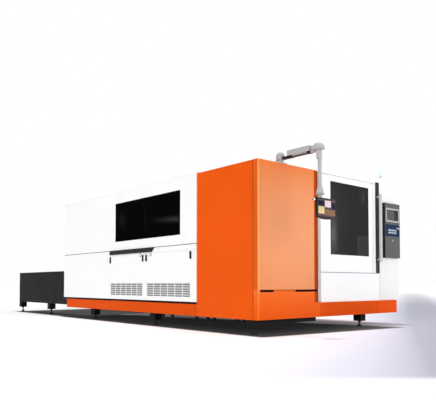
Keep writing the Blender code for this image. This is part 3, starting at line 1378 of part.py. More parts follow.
def pallet(name, start, ledge, steel):
    """A pallet: side and end beams, wheels on the ledges, and toothed slats."""
    left, right = both_sides(PALLET_HALF_WIDTH)
    bottom = ledge + PALLET_BEAM_UP
    top = bottom + PALLET_BEAM_HEIGHT
    end = start + PALLET_LENGTH
    frame = block(name, at(left, start, bottom), at(left + PALLET_BEAM_WIDTH, end, top), steel)
    weld(frame, block(f"{name}_right_beam", at(right - PALLET_BEAM_WIDTH, start, bottom),
                      at(right, end, top)))
    inset = PALLET_BEAM_WIDTH / 2
    for number, along in enumerate((start + GAP, end - PALLET_BEAM_WIDTH - GAP)):
        weld(frame, block(f"{name}_end_beam_{number}", at(left + inset, along, bottom + GAP),
                          at(right - inset, along + PALLET_BEAM_WIDTH, top - GAP)))
    axle = ledge + GAP + WHEEL_RADIUS
    wheels_first = start + WHEEL_END_INSET
    wheels_last = end - WHEEL_END_INSET
    wheel_out = BED_INNER - WHEEL_SIDE_ROOM
    for side, sign in enumerate((-1, 1)):
        inner = BED_CENTRE + sign * (PALLET_HALF_WIDTH - PALLET_BEAM_WIDTH / 2)
        outer = BED_CENTRE + sign * wheel_out
        for number, along in enumerate(spread(wheels_first, wheels_last, WHEEL_COUNT)):
            weld(frame, rod(f"{name}_wheel_{side}_{number}", at(inner, along, axle),
                            at(outer, along, axle), WHEEL_RADIUS))
    weld(frame, slats(name, start, ledge))
    hang(pivot(f"{name}_axis", at(BED_CENTRE, start, ledge)), frame)


def exchange_table(charcoal):
    """The table: two box walls, an end plate, cross members, ledges, brackets and feet."""
    start = BODY_LENGTH + GAP
    outer_left, outer_right = both_sides(TABLE_HALF_WIDTH)
    inner = TABLE_HALF_WIDTH - TABLE_WALL
    inner_left, inner_right = both_sides(inner)
    table = block("table_frame", at(outer_left, start, TABLE_BOTTOM),
                  at(inner_left, TABLE_END, TABLE_TOP), charcoal)
    weld(table, block("table_right_wall", at(inner_right, start, TABLE_BOTTOM),
                      at(outer_right, TABLE_END, TABLE_TOP)))
    weld(table, block("table_end_plate",
                      at(inner_left - OVERRUN, TABLE_END - TABLE_END_PLATE, TABLE_BOTTOM + GAP),
                      at(inner_right + OVERRUN, TABLE_END - GAP, TABLE_TOP - GAP)))
    length = TABLE_END - start
    for number, share in enumerate(TABLE_CROSS_SHARES):
        along = start + length * share
        weld(table, block(f"table_cross_{number}",
                          at(inner_left - OVERRUN, along, TABLE_BOTTOM + GAP),
                          at(inner_right + OVERRUN, along + TABLE_CROSS_WIDTH,
                             TABLE_BOTTOM + TABLE_CROSS_HEIGHT)))
    ledges(table, "table", start, TABLE_END - TABLE_END_PLATE, inner)
    number = 0
    for edge in (outer_left, outer_right - BRACKET_SIZE):
        for along in (TABLE_BRACKET_START, TABLE_END - BRACKET_SIZE):
            number += 1
            weld(table, block(f"table_bracket_{number}", at(edge + GAP, along, TABLE_BRACKET_BOTTOM),
                              at(edge + BRACKET_SIZE - GAP, along + BRACKET_SIZE,
                                 TABLE_BOTTOM + OVERRUN)))
            profile = foot_profile(TABLE_BRACKET_BOTTOM)
            top = TABLE_BRACKET_BOTTOM + OVERRUN
            profile[0] = (0, top)
            profile[1] = (NUT_RADIUS, top)
            weld(table, turned(f"table_foot_{number}", profile,
                               at(edge + BRACKET_SIZE / 2, along + BRACKET_SIZE / 2, 0),
                               None, SMALL_ROUND_STEPS))
    cut(table, block("table_seam", at(outer_left - OVERRUN, TABLE_SEAM, TABLE_BOTTOM - OVERRUN),
                     at(outer_left + GROOVE_DEPTH, TABLE_SEAM + GROOVE_WIDTH,
                        TABLE_TOP + OVERRUN)))


def build():
    orange = paint("orange_paint", ORANGE_COLOUR, 0.25)
    white = paint("white_paint", WHITE_COLOUR, 0.25)
    black = paint("black_trim", BLACK_COLOUR, 0.45)
    charcoal = paint("charcoal_paint", CHARCOAL_COLOUR, 0.55)
    console_grey = paint("console_grey", GREY_COLOUR, 0.5)
    arm_grey = paint("arm_aluminium", ALUMINIUM_COLOUR, 0.35, 0.6)
    steel = paint("steel", STEEL_COLOUR, 0.4, 0.9)
    glass = paint("dark_glass", GLASS_COLOUR, 0.05)
    blue = paint("blue_keypad", BLUE_COLOUR, 0.4)
    lamp = paint("lamp_lens", LAMP_COLOUR, 0.3)

    underframe(charcoal)
    levelling_feet(steel)
    machine_bed(charcoal)
    left, right = both_sides(RAIL_HALF_GAUGE)
    rail("rail_left", left, steel)
    rail("rail_right", right, steel)
    skirts(orange)
    fascia_upper(orange)
    fascia_lower(orange)
    orange_cabinet(orange)
    left_walls(white, black, glass)
    service_doors(white, black)
    right_and_rear(white)
    roof(white)
    front_covers(white, black)
    front_door(white, black, glass, arm_grey)
    console(console_grey, black, blue, white)
    signal_light(white, lamp)
    arm(arm_grey, black)
    gantry(steel, charcoal)
    pallet("upper_pallet", PALLET_IN_START, UPPER_LEDGE, steel)
    pallet("lower_pallet", PALLET_OUT_END - PALLET_LENGTH, LOWER_LEDGE, steel)
    exchange_table(charcoal)


build()
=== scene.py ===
import json
import math
from collections import namedtuple

import bmesh
import bpy
from mathutils import Matrix, Vector


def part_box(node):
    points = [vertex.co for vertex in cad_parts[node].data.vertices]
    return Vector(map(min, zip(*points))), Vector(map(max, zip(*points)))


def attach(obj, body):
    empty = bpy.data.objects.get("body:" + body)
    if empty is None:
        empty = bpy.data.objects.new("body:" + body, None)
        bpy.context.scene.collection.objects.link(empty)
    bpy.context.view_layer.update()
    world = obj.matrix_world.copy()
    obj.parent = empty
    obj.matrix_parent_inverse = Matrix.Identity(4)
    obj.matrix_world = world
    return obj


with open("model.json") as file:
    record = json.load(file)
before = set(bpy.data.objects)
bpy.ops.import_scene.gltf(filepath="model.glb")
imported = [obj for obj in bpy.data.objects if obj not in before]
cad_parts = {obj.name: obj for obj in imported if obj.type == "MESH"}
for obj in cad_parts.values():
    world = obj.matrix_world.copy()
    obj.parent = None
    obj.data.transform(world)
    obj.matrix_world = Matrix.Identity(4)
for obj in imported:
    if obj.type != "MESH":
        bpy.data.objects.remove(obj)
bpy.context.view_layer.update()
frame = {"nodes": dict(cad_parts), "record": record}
NODES = frame["nodes"]

# The corner that part.py measures from: the body's front left corner on the floor
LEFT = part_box("orange_cabinet")[0][0]
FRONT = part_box("skirt_front")[0][1]

Span = namedtuple("Span", "left front bottom right back top")


def at(across, along, up):
    """A point measured from the body's front left corner on the floor."""
    return Vector((LEFT + across, FRONT + along, up))


def span(name):
    """The box round a CAD node, measured like at() to a hundredth of a millimetre."""
    corners = [Vector(corner) - at(0, 0, 0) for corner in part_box(name)]
    return Span(*(round(part, 5) for corner in corners for part in corner))


# Nodes that the added pieces are placed by
COVER_BOX = span("fascia_upper")
LOW_COVER_BOX = span("fascia_lower")
LEAF_BOX = span("front_door")
STRIP_BOX = span("door_edge_strip")
APRON_BOX = span("front_lower_panel")
FRONT_PANE_BOX = span("front_window")
SIDE_FRONT_BOX = span("upper_panel_front")
SIDE_REAR_BOX = span("upper_panel_rear")
SIDE_SKIRT_BOX = span("skirt_left")
PANE_FRONT_BOX = span("side_window_front")
PANE_REAR_BOX = span("side_window_rear")
SERVICE_FRONT_BOX = span("service_door_front")
SERVICE_REAR_BOX = span("service_door_rear")
CONSOLE_BOX = span("console_housing")
SCREEN_BOX = span("console_screen")
BEAM_BOX = span("arm_beam")
LAMP_POLE_BOX = span("lamp_pole")
ROOF_BOX = span("roof")


# Shader helpers

# A Mix node's sockets for colours; its other sockets share their names
MIX_SHARE = 0
MIX_FIRST = 6
MIX_SECOND = 7
MIX_RESULT = 2


def new_material(name):
    material = bpy.data.materials.new(name)
    material.use_nodes = True
    tree = material.node_tree
    return material, tree, tree.nodes["Principled BSDF"]


def node(tree, kind, **values):
    """Add a shader node; input values are given by name with _ for a space."""
    item = tree.nodes.new(kind)
    for name, value in values.items():
        label = name.replace("_", " ")
        if label in item.inputs:
            item.inputs[label].default_value = value
        else:
            setattr(item, name, value)
    return item


def place_socket(tree):
    """The point in the object's own metres."""
    return tree.nodes.new("ShaderNodeTexCoord").outputs["Object"]


def ramp(tree, source, stops):
    """A colour ramp driven by a socket."""
    item = tree.nodes.new("ShaderNodeValToRGB")
    while len(item.color_ramp.elements) < len(stops):
        item.color_ramp.elements.new(0.5)
    for element, (place, colour) in zip(item.color_ramp.elements, stops):
        element.position = place
        element.color = (*colour, 1)
    tree.links.new(source, item.inputs["Fac"])
    return item.outputs["Color"]


def noise(tree, place, scale, detail=3.0, stretch=None):
    item = node(tree, "ShaderNodeTexNoise", Scale=scale, Detail=detail)
    if stretch:
        mapping = node(tree, "ShaderNodeMapping", Scale=stretch)
        tree.links.new(place, mapping.inputs["Vector"])
        place = mapping.outputs["Vector"]
    tree.links.new(place, item.inputs["Vector"])
    return item.outputs["Fac"]


def spread(tree, source, low, high):
    """Map 0..1 to low..high."""
    item = node(tree, "ShaderNodeMapRange", To_Min=low, To_Max=high)
    tree.links.new(source, item.inputs["Value"])
    return item.outputs["Result"]


def bump(tree, shader, height, strength, distance):
    item = node(tree, "ShaderNodeBump", Strength=strength, Distance=distance)
    tree.links.new(height, item.inputs["Height"])
    tree.links.new(item.outputs["Normal"], shader.inputs["Normal"])


def blended(tree, kind, share, first, second):
    """Mix two colours; share is a number or a socket, first and second are sockets."""
    item = node(tree, "ShaderNodeMix", data_type='RGBA', blend_type=kind)
    if isinstance(share, (int, float)):
        item.inputs[MIX_SHARE].default_value = share
    else:
        tree.links.new(share, item.inputs[MIX_SHARE])
    tree.links.new(first, item.inputs[MIX_FIRST])
    tree.links.new(second, item.inputs[MIX_SECOND])
    return item.outputs[MIX_RESULT]


def graded(tree, place, axis, stops):
    """A colour that changes along one axis; each stop is a place in metres and a colour."""
    low = stops[0][0]
    high = stops[-1][0]
    parts = tree.nodes.new("ShaderNodeSeparateXYZ")
    tree.links.new(place, parts.inputs["Vector"])
    share = node(tree, "ShaderNodeMapRange", From_Min=low, From_Max=high)
    tree.links.new(parts.outputs[axis], share.inputs["Value"])
    return ramp(tree, share.outputs["Result"],
                [((spot - low) / (high - low), colour) for spot, colour in stops])


def soft_spot(tree, place, centre, reach, turn):
    """1 at its centre, fading to 0 at its reach on each axis; turn is about the X axis."""
    mapping = node(tree, "ShaderNodeMapping", vector_type='TEXTURE', Location=centre,
                   Rotation=(turn, 0.0, 0.0), Scale=reach)
    spot = node(tree, "ShaderNodeTexGradient", gradient_type='QUADRATIC_SPHERE')
    tree.links.new(place, mapping.inputs["Vector"])
    tree.links.new(mapping.outputs["Vector"], spot.inputs["Vector"])
    return spot.outputs["Fac"]


# Materials

# The part of a noise's range over which one tone turns into the other
TONE_START = 0.3
TONE_END = 0.7


def scaled(colour, factor):
    return [min(1.0, part * factor) for part in colour]


def mottled(tree, source, low, high):
    """One tone turning into another with a noise."""
    return ramp(tree, source, [(TONE_START, low), (TONE_END, high)])


def roughen(tree, shader, source, roughness, less, more):
    """A roughness that varies a little with a noise."""
    tree.links.new(spread(tree, source, roughness - less, roughness + more),
                   shader.inputs["Roughness"])


def painted(name, colour, roughness, specular, variation=0.03, grain=650, shades=(),
            tint=(1, 1, 1)):
    """Powder-coated sheet: fine orange peel and faint tone drift; shades multiply the colour."""
    material, tree, shader = new_material(name)
    place = place_socket(tree)
    tone = mottled(tree, noise(tree, place, scale=1.7), scaled(colour, 1 - variation),
                   scaled(colour, 1 + variation))
    for axis, stops in shades:
        tone = blended(tree, 'MULTIPLY', 1, tone, graded(tree, place, axis, stops))
    tree.links.new(tone, shader.inputs["Base Color"])
    roughen(tree, shader, noise(tree, place, scale=6.0), roughness, less=0.04, more=0.05)
    shader.inputs["Specular IOR Level"].default_value = specular
    shader.inputs["Specular Tint"].default_value = (*tint, 1)
    bump(tree, shader, noise(tree, place, grain, detail=2.0), strength=0.12, distance=0.00012)
    return material


def metal(name, colour, roughness, stretch, grain=90, metallic=1.0):
    """Machined or brushed metal with fine streaks."""
    material, tree, shader = new_material(name)
    streaks = noise(tree, place_socket(tree), grain, detail=4.0, stretch=stretch)
    tree.links.new(mottled(tree, streaks, scaled(colour, 0.88), scaled(colour, 1.08)),
                   shader.inputs["Base Color"])
    roughen(tree, shader, streaks, roughness, less=0.06, more=0.08)
    shader.inputs["Metallic"].default_value = metallic
    bump(tree, shader, streaks, strength=0.08, distance=0.0002)
    return material


def moulded(name, colour, roughness, grain=900, specular=0.2):
    """Moulded plastic or rubber with a fine leather-like grain."""
    material, tree, shader = new_material(name)
    place = place_socket(tree)
    tree.links.new(mottled(tree, noise(tree, place, scale=9.0), scaled(colour, 0.92),
                           scaled(colour, 1.08)), shader.inputs["Base Color"])
    roughen(tree, shader, noise(tree, place, scale=14.0), roughness, less=0.05, more=0.05)
    shader.inputs["Specular IOR Level"].default_value = specular
    bump(tree, shader, noise(tree, place, grain, detail=2.0), strength=0.15, distance=0.0001)
    return material


def glass(name, colour, roughness, specular, streaks=()):
    """Dark laser-safe pane: near black, polished, with soft pale streaks.

    A streak is a painted reflection: its centre, its reach on each axis, its turn about the X axis
    and its glow.
    """
    material, tree, shader = new_material(name)
    place = place_socket(tree)
    cloud = noise(tree, place, scale=1.1, detail=2.0)
    tone = ramp(tree, cloud, [(0.35, colour), (0.8, scaled(colour, 1.12))])
    for centre, reach, turn, glow in streaks:
        spot = soft_spot(tree, place, at(*centre), reach, turn)
        tone = blended(tree, 'ADD', 1, tone, ramp(tree, spot, [(0.0, (0, 0, 0)), (1.0, glow)]))
    tree.links.new(tone, shader.inputs["Base Color"])
    roughen(tree, shader, cloud, roughness, less=0.0, more=0.06)
    shader.inputs["Specular IOR Level"].default_value = specular
    return material


def lit(name, colour, strength):
    """A lamp lens: tinted plastic with its own light, uneven round its ribs."""
    material, tree, shader = new_material(name)
    ribs = noise(tree, place_socket(tree), scale=60.0, detail=2.0, stretch=(1, 1, 0.2))
    tone = mottled(tree, ribs, scaled(colour, 0.92), colour)
    tree.links.new(tone, shader.inputs["Base Color"])
    tree.links.new(tone, shader.inputs["Emission Color"])
    shader.inputs["Emission Strength"].default_value = strength
    shader.inputs["Roughness"].default_value = 0.25
    return material


# Shades that multiply a paint's colour along an axis

PLAIN = (1, 1, 1)
SEAM_SHADE = (0.45, 0.45, 0.46)
SEAM_HALF_WIDTH = 0.002
SEAM_SOFT_HALF_WIDTH = 0.005


def from_left(*stops):
    """Shade stops whose places are measured from the body's left side."""
    return [(LEFT + place, colour) for place, colour in stops]


def seam_lines(start, places):
    """Shade stops for narrow panel seams across one axis."""
    stops = []
    for place in places:
        middle = start + place
        stops += [(middle - SEAM_SOFT_HALF_WIDTH, PLAIN), (middle - SEAM_HALF_WIDTH, SEAM_SHADE),
                  (middle + SEAM_HALF_WIDTH, SEAM_SHADE), (middle + SEAM_SOFT_HALF_WIDTH, PLAIN)]
    return stops


# Painted light on the front cover: a painted highlight on its folded left edge, painted shade
# on its bevel, and deep orange on its side and top, where the painted reflection stops
COVER_PAINTED_LIGHT = [
    ("X", from_left((-0.001, (1.00, 0.34, 0.02)), (0.0008, (1.00, 0.34, 0.02)),
                    (0.0016, (1.2, 1.75, 2.2)), (0.018, (1.2, 1.60, 1.9)), (0.027, PLAIN),
                    (1.108, PLAIN), (1.118, (0.58, 0.24, 0.01)), (1.236, (0.40, 0.12, 0.01)))),
    ("Z", [(0.50, PLAIN), (1.90, PLAIN), (2.14, (1.02, 0.93, 0.76)), (2.29, (1.06, 0.78, 0.42))]),
]
# Painted light on the lower cover: a painted highlight on its folded left edge, and painted shade
LOW_COVER_PAINTED_LIGHT = [
    # that deepens the orange towards the bottom and pales it towards the top
    ("X", from_left((-0.001, (1.0, 0.9, 0.8)), (0.0008, (1.0, 0.9, 0.8)),
                    (0.0016, (1.12, 2.0, 6.0)), (0.016, (1.10, 1.7, 4.5)), (0.026, PLAIN),
                    (1.236, PLAIN))),
    ("Z", [(0.198, (0.97, 0.78, 0.30)), (0.36, (0.99, 0.90, 0.60)), (0.50, (1.02, 1.08, 1.5)),
           (0.588, (1.03, 1.22, 2.6))]),
]
# Painted shade on the cover's bevelled end, deepest at its far edge
BEVEL_PAINTED_SHADE = [("X", from_left((1.110, PLAIN), (1.135, (0.80, 0.76, 0.70)),
                                (1.200, (0.46, 0.42, 0.35)), (1.236, (0.36, 0.32, 0.25))))]
# Painted shade on the skirt: a darker copy of the orange, deepest along the middle of its front
SKIRT_PAINTED_SHADE = [("X", from_left((1.2, PLAIN), (1.5, (0.92, 0.86, 0.7)), (2.4, (0.94, 0.90, 0.8)),
                                # and lighter towards its right end
                                (3.2, (1.08, 1.04, 1.0))))]
# The handle's soft shade falls on the door beside the black edge strip
DOOR_SHADES = [("X", from_left((1.1, PLAIN), (2.56, PLAIN), (2.585, (0.86, 0.86, 0.865)),
                               (2.66, (0.88, 0.88, 0.885)), (2.685, PLAIN)))]
RIGHT_WALL_SHADES = [("Y", seam_lines(FRONT, (1.74, 3.04, 4.34))),
                     ("Z", seam_lines(0.0, (1.2526,)))]
# The arm's beam is dark underneath, and the monitor's housing has a grey top
BEAM_SHADES = [("Z", [(2.3, (0.10, 0.10, 0.10)), (2.3520, (0.10, 0.10, 0.10)), (2.3560, PLAIN),
                      (2.5, PLAIN)])]
PENDANT_SHADES = [("Z", [(1.4, PLAIN), (1.7274, PLAIN), (1.7276, (26.0, 26.0, 26.5)),
                         (1.9, (26.0, 26.0, 26.5))])]

# The machine's own materials

ORANGE = painted("orange paint", (0.82, 0.101, 0.0046), 0.42, 0.04)
# Its peach colour is a painted reflection of the soft box; its gloss and tinted specular are real
ORANGE_FRONT_SHEEN = painted("orange front paint with painted sheen", (0.79, 0.222, 0.062), 0.33, 0.45,
                       shades=COVER_PAINTED_LIGHT, tint=(0.8, 1.0, 0.72))
# A darker matt copy of the orange for the cover's side return: painted shade
ORANGE_RETURN_SHADE = painted("orange return shade paint", (0.74, 0.112, 0.009), 0.42, 0.04)
ORANGE_BEVEL_SHADE = painted("orange bevel shade paint", (0.62, 0.085, 0.004), 0.45, 0.02,
                       shades=BEVEL_PAINTED_SHADE)
ORANGE_SKIRT_SHADED = painted("orange skirt shaded paint", (0.74, 0.082, 0.003), 0.42, 0.03,
                       shades=SKIRT_PAINTED_SHADE)
SLOT_SHADE = moulded("slot shade", (0.016, 0.003, 0.002), 0.8, specular=0.03)
SEAM_AND_SHADE_ORANGE = moulded("seam sealer and slot shade", (0.22, 0.024, 0.002), 0.6, specular=0.05)
ORANGE_LOW = painted("orange lower paint", (0.83, 0.124, 0.007), 0.42, 0.06,
                     shades=LOW_COVER_PAINTED_LIGHT)
WHITE = painted("white paint", (0.945, 0.945, 0.948), 0.42, 0.10, variation=0.008)
# Painted shade: darker copies of the white for the panel under the door, the column and the door
FRONT_WHITE_SHADED = painted("white front shaded paint", (0.90, 0.90, 0.904), 0.42, 0.10, variation=0.008)
COLUMN_WHITE_SHADED = painted("white column shaded paint", (0.82, 0.82, 0.822), 0.42, 0.10, variation=0.008)
DOOR_WHITE_SHADED = painted("white door shaded paint", (0.905, 0.905, 0.909), 0.40, 0.10, variation=0.006,
                     shades=DOOR_SHADES)
RIGHT_WHITE = painted("white side paint", (0.925, 0.925, 0.93), 0.42, 0.10, variation=0.008,
                      shades=RIGHT_WALL_SHADES)
SHADE_STRIP_GREY = moulded("grey shade strip", (0.54, 0.50, 0.475), 0.6)
RUBBER = moulded("black rubber", (0.006, 0.006, 0.0065), 0.75, specular=0.05)
SEAM_GREY = moulded("seam filler", (0.30, 0.30, 0.305), 0.7)
MESH_GREY = moulded("filter mat", (0.10, 0.10, 0.105), 0.85, grain=420)
LIP_GREY = moulded("louvre lip", (0.56, 0.56, 0.565), 0.5)
RING_GREY = moulded("ring plate", (0.06, 0.06, 0.062), 0.5)
FILM = painted("window film", (0.040, 0.040, 0.041), 0.45, 0.04, variation=0.3)
FOOT = metal("blackened steel", (0.020, 0.020, 0.021), 0.5, stretch=(1, 1, 40), metallic=0.6)
BLACK = moulded("black trim", (0.014, 0.014, 0.015), 0.45)
CHARCOAL = painted("charcoal paint", (0.0165, 0.0165, 0.0172), 0.55, 0.06, variation=0.12,
                   grain=420)
BASE = painted("base paint", (0.012, 0.012, 0.013), 0.6, 0.08, variation=0.15, grain=380)
CONSOLE = painted("console grey", (0.104, 0.104, 0.106), 0.5, 0.12, variation=0.05)
PALE_FRAME = moulded("pale frame", (0.46, 0.45, 0.45), 0.45)
SCREEN_GREY = moulded("console display", (0.078, 0.078, 0.081), 0.3, grain=1200)
SCREEN_DARK = moulded("console display dark", (0.022, 0.022, 0.024), 0.3, grain=1200)
KEY_PALE = moulded("pale keys", (0.44, 0.50, 0.56), 0.5)
ALUMINIUM = painted("arm coat", (0.46, 0.46, 0.465), 0.42, 0.15, variation=0.03)
BEAM = painted("arm beam coat", (0.46, 0.46, 0.465), 0.42, 0.15, shades=BEAM_SHADES)
HANDLE = painted("handle satin", (0.57, 0.57, 0.575), 0.34, 0.30, variation=0.05)
STEEL = metal("machined steel", (0.45, 0.46, 0.48), 0.34, stretch=(40, 1, 1))
PALLET = metal("pallet steel", (0.22, 0.215, 0.21), 0.5, stretch=(1, 1, 12), grain=60)
# The first two streaks are painted reflections; the narrow third is a faint pale line where the
# panes meet
SIDE_GLASS = glass("side glass", (0.0024, 0.0024, 0.0025), 0.12, 0.0, streaks=(
    ((-0.009, 1.78, 1.655), (0.5, 0.86, 0.085), 0.06, (0.030, 0.030, 0.031)),
    ((-0.009, 3.36, 1.78), (0.5, 0.22, 0.26), -0.4, (0.008, 0.008, 0.0085)),
    ((-0.009, 2.613, 1.75), (0.5, 0.035, 0.40), 0.0, (0.006, 0.006, 0.0062)),
))
# Both streaks are painted reflections on the front pane
FRONT_GLASS = glass("front glass", (0.0195, 0.0195, 0.0200), 0.16, 0.05, streaks=(
    ((1.60, 0.04, 1.40), (0.16, 0.5, 0.50), 0.0, (0.090, 0.090, 0.092)),
    ((2.36, 0.04, 2.02), (0.16, 0.5, 0.22), 0.0, (0.022, 0.022, 0.023)),
))
PENDANT_GLASS = glass("monitor glass", (0.050, 0.012, 0.016), 0.25, 0.15)
PENDANT_BLACK = painted("monitor housing", (0.018, 0.017, 0.017), 0.45, 0.10,
                        shades=PENDANT_SHADES)
KEYPAD = moulded("blue keypad", (0.006, 0.026, 0.066), 0.45, specular=0.08)
BUTTON = moulded("button plastic", (0.80, 0.81, 0.82), 0.35)
LAMP = lit("lamp lens", (0.66, 0.84, 0.85), 0.15)
FIELD_CREAM = moulded("cream field", (0.76, 0.62, 0.30), 0.4, specular=0.05)
FIELD_PALE = moulded("pale field", (0.76, 0.64, 0.69), 0.4, specular=0.05)
FIELD_NAVY = moulded("navy field", (0.006, 0.007, 0.026), 0.4, specular=0.05)
FIELD_BROWN = moulded("brown field", (0.30, 0.15, 0.085), 0.4, specular=0.05)

# The material of each slot, and of the nodes that have one of their own
SLOT_MATERIAL = {
    "orange_paint": ORANGE, "white_paint": WHITE, "black_trim": BLACK, "charcoal_paint": CHARCOAL,
    "console_grey": CONSOLE, "arm_aluminium": ALUMINIUM, "steel": STEEL, "dark_glass": SIDE_GLASS,
    "blue_keypad": KEYPAD, "button_plastic": BUTTON, "lamp_lens": LAMP,
}
NODE_MATERIAL = {
    "fascia_upper": ORANGE_FRONT_SHEEN, "fascia_lower": ORANGE_LOW, "front_door": DOOR_WHITE_SHADED,
    "front_column": COLUMN_WHITE_SHADED, "front_lower_panel": FRONT_WHITE_SHADED,
    "underframe": BASE, "machine_bed": BASE, "front_window": FRONT_GLASS,
    "door_handle": HANDLE, "arm_beam": BEAM, "pendant_housing": PENDANT_BLACK,
    "pendant_screen": PENDANT_GLASS, "upper_pallet": PALLET, "lower_pallet": PALLET,
    "door_track": DOOR_WHITE_SHADED, "right_wall": RIGHT_WHITE, "skirt_front": ORANGE_SKIRT_SHADED,
    "skirt_left": ORANGE_SKIRT_SHADED, "skirt_right": ORANGE_SKIRT_SHADED,
    **{f"levelling_foot_{number}": FOOT for number in range(1, 7)},
}


def dress(item, material):
    """Put one material on every face of a CAD node."""
    for slot in item.material_slots:
        slot.material = material


for entry in frame["record"]["subparts"]:
    title = entry["node"]
    dress(NODES[title], NODE_MATERIAL.get(title, SLOT_MATERIAL[entry["material_slot"]]))

# Shapes of the added pieces

CREASE = math.radians(32)
THIN_EDGE = 0.0002


def block(form, low, high, rounding=THIN_EDGE):
    """A block with rounded edges between two corners measured like at()."""
    corner = at(*low)
    size = at(*high) - corner
    matrix = Matrix.Translation(corner + size / 2) @ Matrix.Diagonal((*size, 1))
    verts = bmesh.ops.create_cube(form, size=1.0, matrix=matrix)["verts"]
    edges = {edge for vert in verts for edge in vert.link_edges}
    bmesh.ops.bevel(form, geom=list(edges), offset=rounding, segments=2, profile=0.6,
                    affect='EDGES')


def hoop(form, plane, low, high, width, near, far):
    """A flat rectangular frame; plane turns (first, second, depth) into a point."""
    loops = []
    for inset, depth in ((0, near), (0, far), (width, far), (width, near)):
        left, bottom = low[0] + inset, low[1] + inset
        right, top = high[0] - inset, high[1] - inset
        corners = ((left, bottom), (right, bottom), (right, top), (left, top))
        loops.append([form.verts.new(plane(first, second, depth)) for first, second in corners])
    join_rings(form, loops + loops[:1])


def join_rings(form, rings):
    """Faces between each ring of points and the next."""
    for lower, upper in zip(rings, rings[1:]):
        for step in range(len(lower)):
            other = (step + 1) % len(lower)
            form.faces.new((lower[step], lower[other], upper[other], upper[step]))


def turned(form, centre, axis, profile, closed=False, sides=28):
    """A turned shape; profile lists (radius, height) from its base along the axis."""
    turn = Vector(axis).to_track_quat('Z', 'Y').to_matrix()
    origin = at(*centre)
    rings = []
    for radius, height in profile:
        ring = []
        for step in range(sides):
            angle = 2 * math.pi * step / sides
            spot = Vector((radius * math.cos(angle), radius * math.sin(angle), height))
            ring.append(form.verts.new(origin + turn @ spot))
        rings.append(ring)
    if closed:
        join_rings(form, rings + rings[:1])
        return
    join_rings(form, rings)
    form.faces.new(rings[0])
    form.faces.new(rings[-1])


def on_side(along, up, depth):
    return at(depth, along, up)


def on_front(across, up, depth):
    return at(across, depth, up)


def add_piece(name, body, material, form):
    """Turn a finished bmesh into a piece that rides a body."""
    bmesh.ops.recalc_face_normals(form, faces=form.faces[:])
    mesh = bpy.data.meshes.new(name)
    form.to_mesh(mesh)
    form.free()
    mesh.polygons.foreach_set("use_smooth", [True] * len(mesh.polygons))
    mesh.set_sharp_from_angle(angle=CREASE)
    mesh.materials.append(material)
    item = bpy.data.objects.new(name, mesh)
    bpy.context.scene.collection.objects.link(item)
    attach(item, body)


def add_blocks(name, body, material, blocks, rounding=THIN_EDGE):
    """One piece from several rounded blocks."""
    form = bmesh.new()
    for low, high in blocks:
        block(form, low, high, rounding)
    add_piece(name, body, material, form)


def front_layer(across, up, face, rise):
    """A block that lies rise deep on a face at the front; across and up are pairs."""
    return (across[0], face - rise, up[0]), (across[1], face, up[1])


def side_layer(along, up, face, rise):
    """A block that lies rise deep on a face of the left side; along and up are pairs."""
    return (face - rise, along[0], up[0]), (face, along[1], up[1])


def evenly(start, pitch, count):
    """Places in a row."""
    return [start + pitch * step for step in range(count)]


# Grey strips of painted shade beside the cover, rubber seals, and fillers in the seams that the
# folded plates leave between them

FRONT_FACE = COVER_BOX.front
CABINET_FACE = COVER_BOX.left
DOOR_FACE = LEAF_BOX.front
SIDE_FACE = SIDE_REAR_BOX.left
LAYER_RISE = 0.0007
ORANGE_RISE = 0.0005

# Grey strips of painted shade on the door and the panel under it, beside the cover's bevelled end
SHADE_STRIP_ACROSS = (COVER_BOX.right + 0.0070, COVER_BOX.right + 0.0680)
DOOR_SHADE_STRIP_UP = (LEAF_BOX.bottom + 0.0037, LEAF_BOX.top - 0.0100)
LOWER_SHADE_STRIP_UP = (APRON_BOX.bottom + 0.0007, APRON_BOX.top - 0.0015)
APRON_SEAM_ACROSS = (SHADE_STRIP_ACROSS[1] + 0.0010, APRON_BOX.right - 0.0020)
APRON_SEAM_UP = (APRON_BOX.top - 0.0100, APRON_BOX.top - 0.0005)
COLUMN_SEAM_ACROSS = (APRON_BOX.right - 0.0045, APRON_BOX.right + 0.0035)
COLUMN_SEAM_UP = (LOWER_SHADE_STRIP_UP[0], APRON_SEAM_UP[0] - 0.0010)

GASKET_DEPTH = (SIDE_FACE + 0.0040, SIDE_FACE + 0.0119)
GASKET_UP = (SIDE_REAR_BOX.bottom - 0.0100, SIDE_REAR_BOX.bottom - 0.0007)
GASKET_RUNS = ((SIDE_REAR_BOX.front + 0.0010, SIDE_REAR_BOX.back - 0.0010),
               (SIDE_FRONT_BOX.front + 0.0012, SIDE_FRONT_BOX.back - 0.0007))
DRIP_BOTTOM = SIDE_SKIRT_BOX.top - 0.0300
# Under the service doors it stays low enough for them to tilt
DRIP_UNDER_DOORS = ((SIDE_FACE + 0.0070, SIDE_FRONT_BOX.front + 0.0032, DRIP_BOTTOM),
                    (CABINET_FACE, SIDE_FRONT_BOX.back - 0.0027, SIDE_SKIRT_BOX.top - 0.0015))
DRIP_UNDER_PANEL = ((SIDE_FACE + 0.0004, SIDE_REAR_BOX.front + 0.0030, DRIP_BOTTOM),
                    (CABINET_FACE, SIDE_SKIRT_BOX.back - 0.0010, SIDE_SKIRT_BOX.top))

CABINET_SEAM_ALONG = (COVER_BOX.back - 0.0040, COVER_BOX.back + 0.0050)
CABINET_SEAM_UP = (LOW_COVER_BOX.bottom + 0.0020, COVER_BOX.top - 0.0020)
